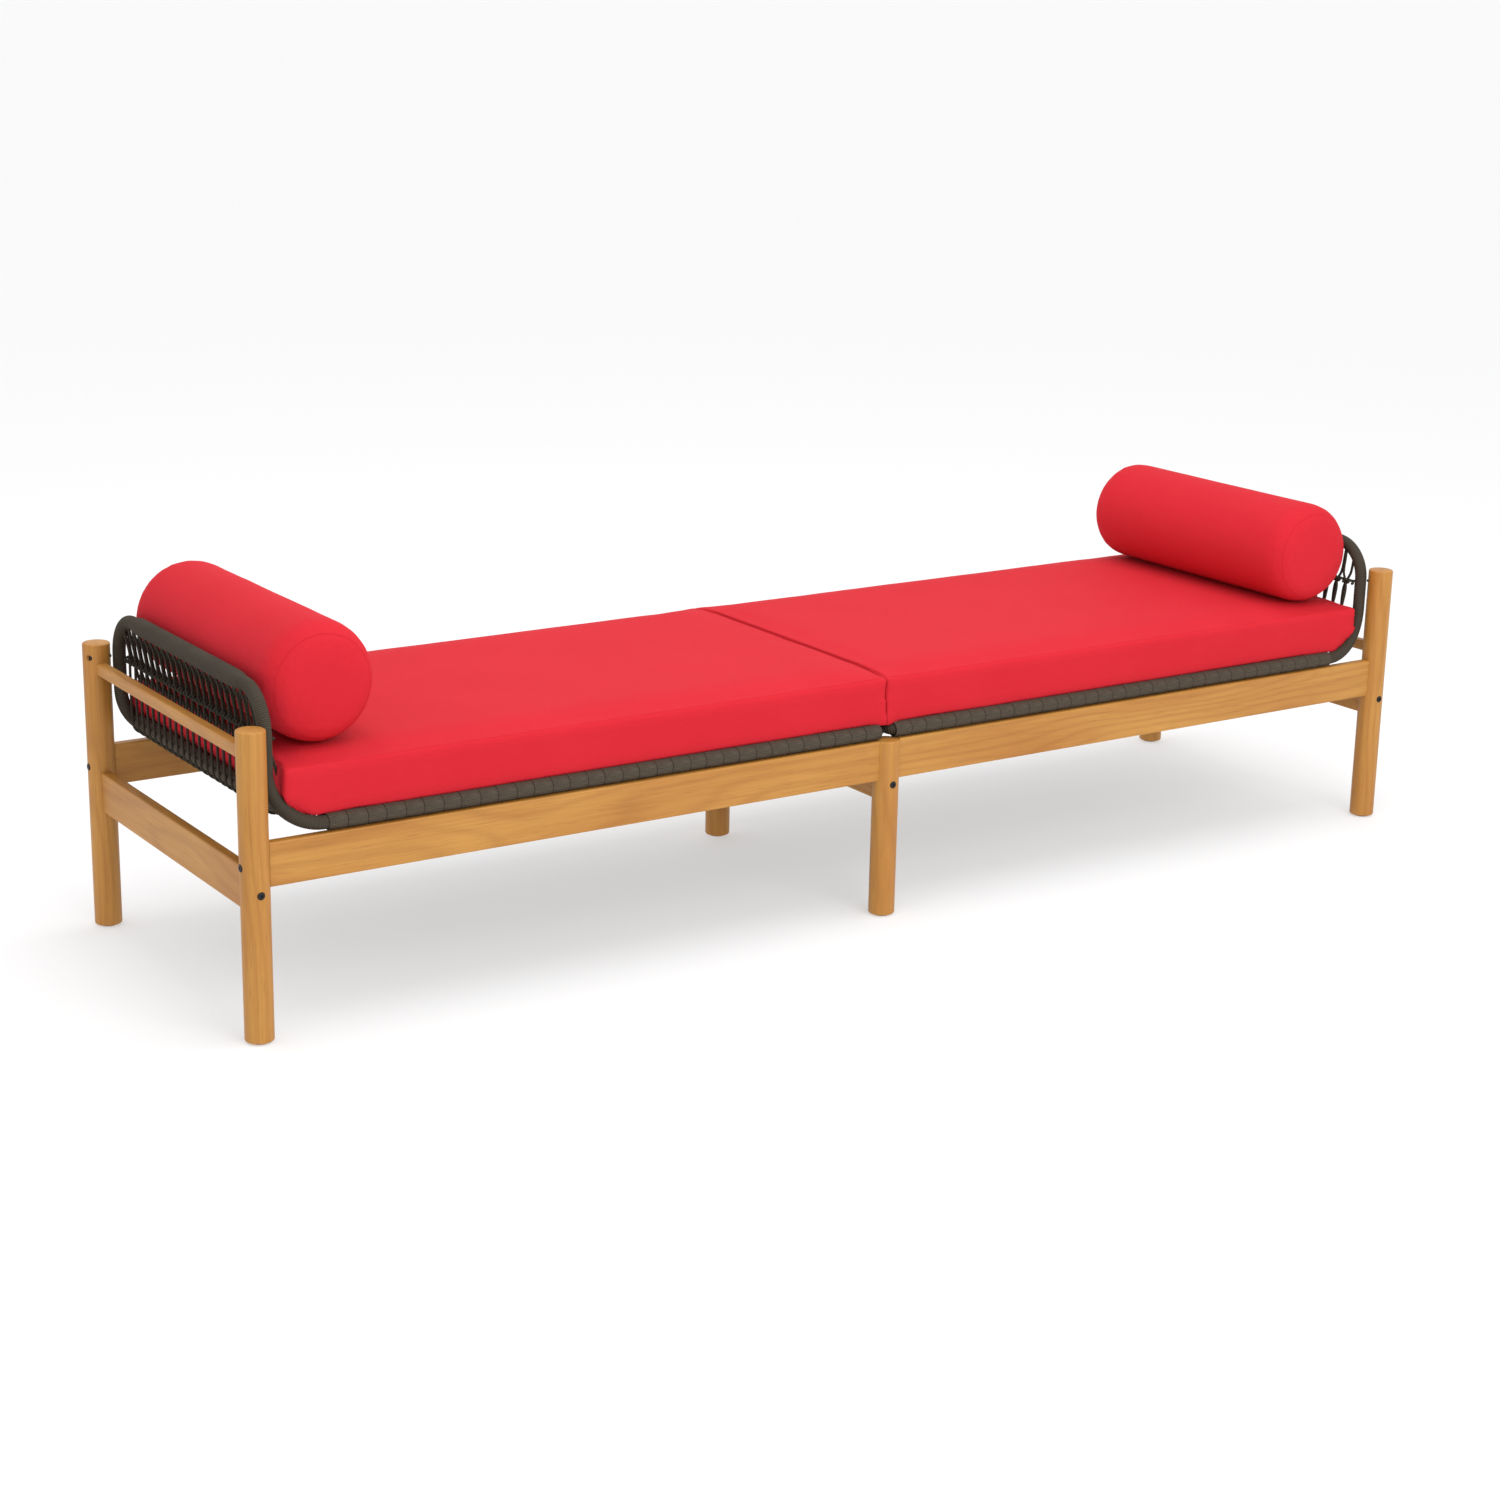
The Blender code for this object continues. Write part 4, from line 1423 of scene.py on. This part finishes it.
    def build(self) -> None:
        """Builds the cushion with its seams."""
        node = f"{self.side.label}_seat_cushion"
        body = f"{self.side.label}_cushion"
        low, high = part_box(node)
        cover = self.padding.stuffed(node, f"{node}_cover", self.shrink)
        self.padding.smooth(cover)
        full_low, full_high = low.copy(), high.copy()
        full_low.y, full_high.y = low.y - self.overhang, high.y + self.overhang
        if self.side is Side.LEFT:
            full_high.x = -self.middle_gap
        else:
            full_low.x = self.middle_gap
        self.padding.fill_box(cover, full_low, full_high)
        self._square_edges(cover, full_low, full_high)
        self._clear_bend(cover)
        self._settle_on_neighbours(cover, low, high)
        dress(cover, self.canvas, body, [node])
        loops = {"top": self._top_loop(low, high), "bottom": self._bottom_loop(low, high)}
        for place, loop in loops.items():
            bead = self.padding.seam(cover, loop, f"{node}_{place}_seam", self.seam_radius)
            dress(bead, self.thread, body)


@dataclass
class Bolster:
    """A round bolster with domed ends."""

    side: Side
    canvas: bpy.types.Material
    thread: bpy.types.Material
    padding: Padding = field(default_factory=lambda: Padding(0.006, cap=0.005, unevenness=0.0005))
    shrink: float = 0.003
    seam_radius: float = 0.0010
    left_rise: float = 0.0050
    right_rise: float = 0.0010

    def build(self) -> None:
        """Builds the bolster with its end seams."""
        node = f"{self.side.label}_bolster"
        low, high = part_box(node)
        cover = self.padding.stuffed(node, f"{node}_cover", self.shrink)
        self.padding.smooth(cover)
        rise = self.left_rise if self.side is Side.LEFT else self.right_rise
        self.padding.fill_box(cover, low + Vector((0.0, 0.0, 0.0003)), high + Vector((0.0, 0.0, rise)))
        dress(cover, self.canvas, node, [node])
        middle = (low + high) / 2
        ring = arc_points((middle.x, middle.z), (high.z - low.z) / 2 - 0.010, 0, 360, 96)[:-1]
        for row in Row:
            y = middle.y + row.value * ((high.y - low.y) / 2 - 0.010)
            loop = np.array([(x, y, z) for x, z in ring])
            bead = self.padding.seam(cover, loop, f"{node}_{row.label}_seam", self.seam_radius)
            dress(bead, self.thread, node)


# ---- Studio --------------------------------------------------------------------------------------


@dataclass
class Studio:
    """Pale floor, soft light and the camera."""

    camera_at: tuple[float, float, float] = (-2.7152, -3.9500, 1.5740)
    yaw: float = 33.79
    pitch: float = 15.84
    roll: float = 1.12
    lens: float = 67.0
    floor_colour: Colour = (0.50, 0.50, 0.505)
    # floor_glow is painted light: the floor's own glow.
    floor_glow: float = 0.46

    def _floor(self) -> None:
        """Adds the floor."""
        deselect_all()
        bpy.ops.mesh.primitive_circle_add(
            vertices=96, radius=160.0, fill_type="NGON", location=(0.0, 0.0, 0.0)
        )
        floor = bpy.context.object
        floor.name = "studio_floor"
        graph = Graph("studio_floor")
        x, y, z = graph.place()
        tone = graph.cloud(graph.vector(x, y, z), 3.0)
        colour = graph.mix(tone * 0.1, self.floor_colour, (0.49, 0.49, 0.495))
        # The floor glows by itself: painted light that lifts the shadows on it and lights the bed from below.
        material = graph.finish(colour, 0.9, Specular_IOR_Level=0.1, Emission_Strength=self.floor_glow)
        floor.data.materials.append(material)

    def _light(self, name: str, at: Sequence[float], aim: Sequence[float], size: float, power: float) -> None:
        """Adds a square area light aimed at a point.

        Args:
            name: Its name.
            at: Where it stands.
            aim: What it points at.
            size: Its side in metres.
            power: Its power in watts.
        """
        data = bpy.data.lights.new(name, "AREA")
        data.shape = "SQUARE"
        data.size = size
        data.energy = power
        light = bpy.data.objects.new(name, data)
        light.location = at
        light.rotation_euler = (Vector(aim) - Vector(at)).to_track_quat("-Z", "Y").to_euler()
        bpy.context.scene.collection.objects.link(light)

    def _camera(self) -> None:
        """Adds the camera and makes it the scene's."""
        yaw, pitch, roll = (math.radians(angle) for angle in (self.yaw, self.pitch, self.roll))
        forward = Vector((math.sin(yaw) * math.cos(pitch), math.cos(yaw) * math.cos(pitch), -math.sin(pitch)))
        level = Vector((math.cos(yaw), -math.sin(yaw), 0.0))
        upward = level.cross(forward)
        right = level * math.cos(roll) + upward * math.sin(roll)
        up = upward * math.cos(roll) - level * math.sin(roll)
        turn = Matrix((right, up, -forward)).transposed().to_4x4()
        data = bpy.data.cameras.new("camera")
        data.lens = self.lens
        data.sensor_width = 36.0
        data.clip_end = 400.0
        camera = bpy.data.objects.new("camera", data)
        camera.matrix_world = Matrix.Translation(self.camera_at) @ turn
        bpy.context.scene.collection.objects.link(camera)
        bpy.context.scene.camera = camera

    def build(self) -> None:
        """Builds floor, world, lights and camera."""
        self._floor()
        world = bpy.data.worlds.new("studio")
        world.use_nodes = True
        world.node_tree.nodes["Background"].inputs["Color"].default_value = (1.0, 1.0, 1.0, 1.0)
        world.node_tree.nodes["Background"].inputs["Strength"].default_value = 0.95
        bpy.context.scene.world = world
        bpy.context.scene.view_settings.view_transform = "Standard"
        self._light("overhead", (0.0, -0.4, 3.6), (0.0, 0.0, 0.0), 3.0, 54.0)
        self._light("key", (-0.2, -4.0, 2.5), (0.0, 0.0, 0.3), 2.6, 62.0)
        self._camera()


def main() -> None:
    """Builds every piece in order."""
    logging.basicConfig(level=logging.INFO, format="%(name)s %(message)s")
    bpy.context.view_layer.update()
    WoodenFrame().build()
    Fastener().build()
    canvas = CanvasFinish("canvas").material()
    # The seam thread is a darker red than the canvas: painted shade of the groove along the seam.
    thread = CanvasFinish("seam", (0.55, 0.015, 0.025), (0.48, 0.011, 0.020), (0.59, 0.017, 0.028)).material()
    for side in Side:
        SeatFrame(side).build()
        SeatCushion(side, canvas, thread).build()
        Bolster(side, canvas, thread).build()
    Studio().build()


if __name__ == "__main__":
    main()
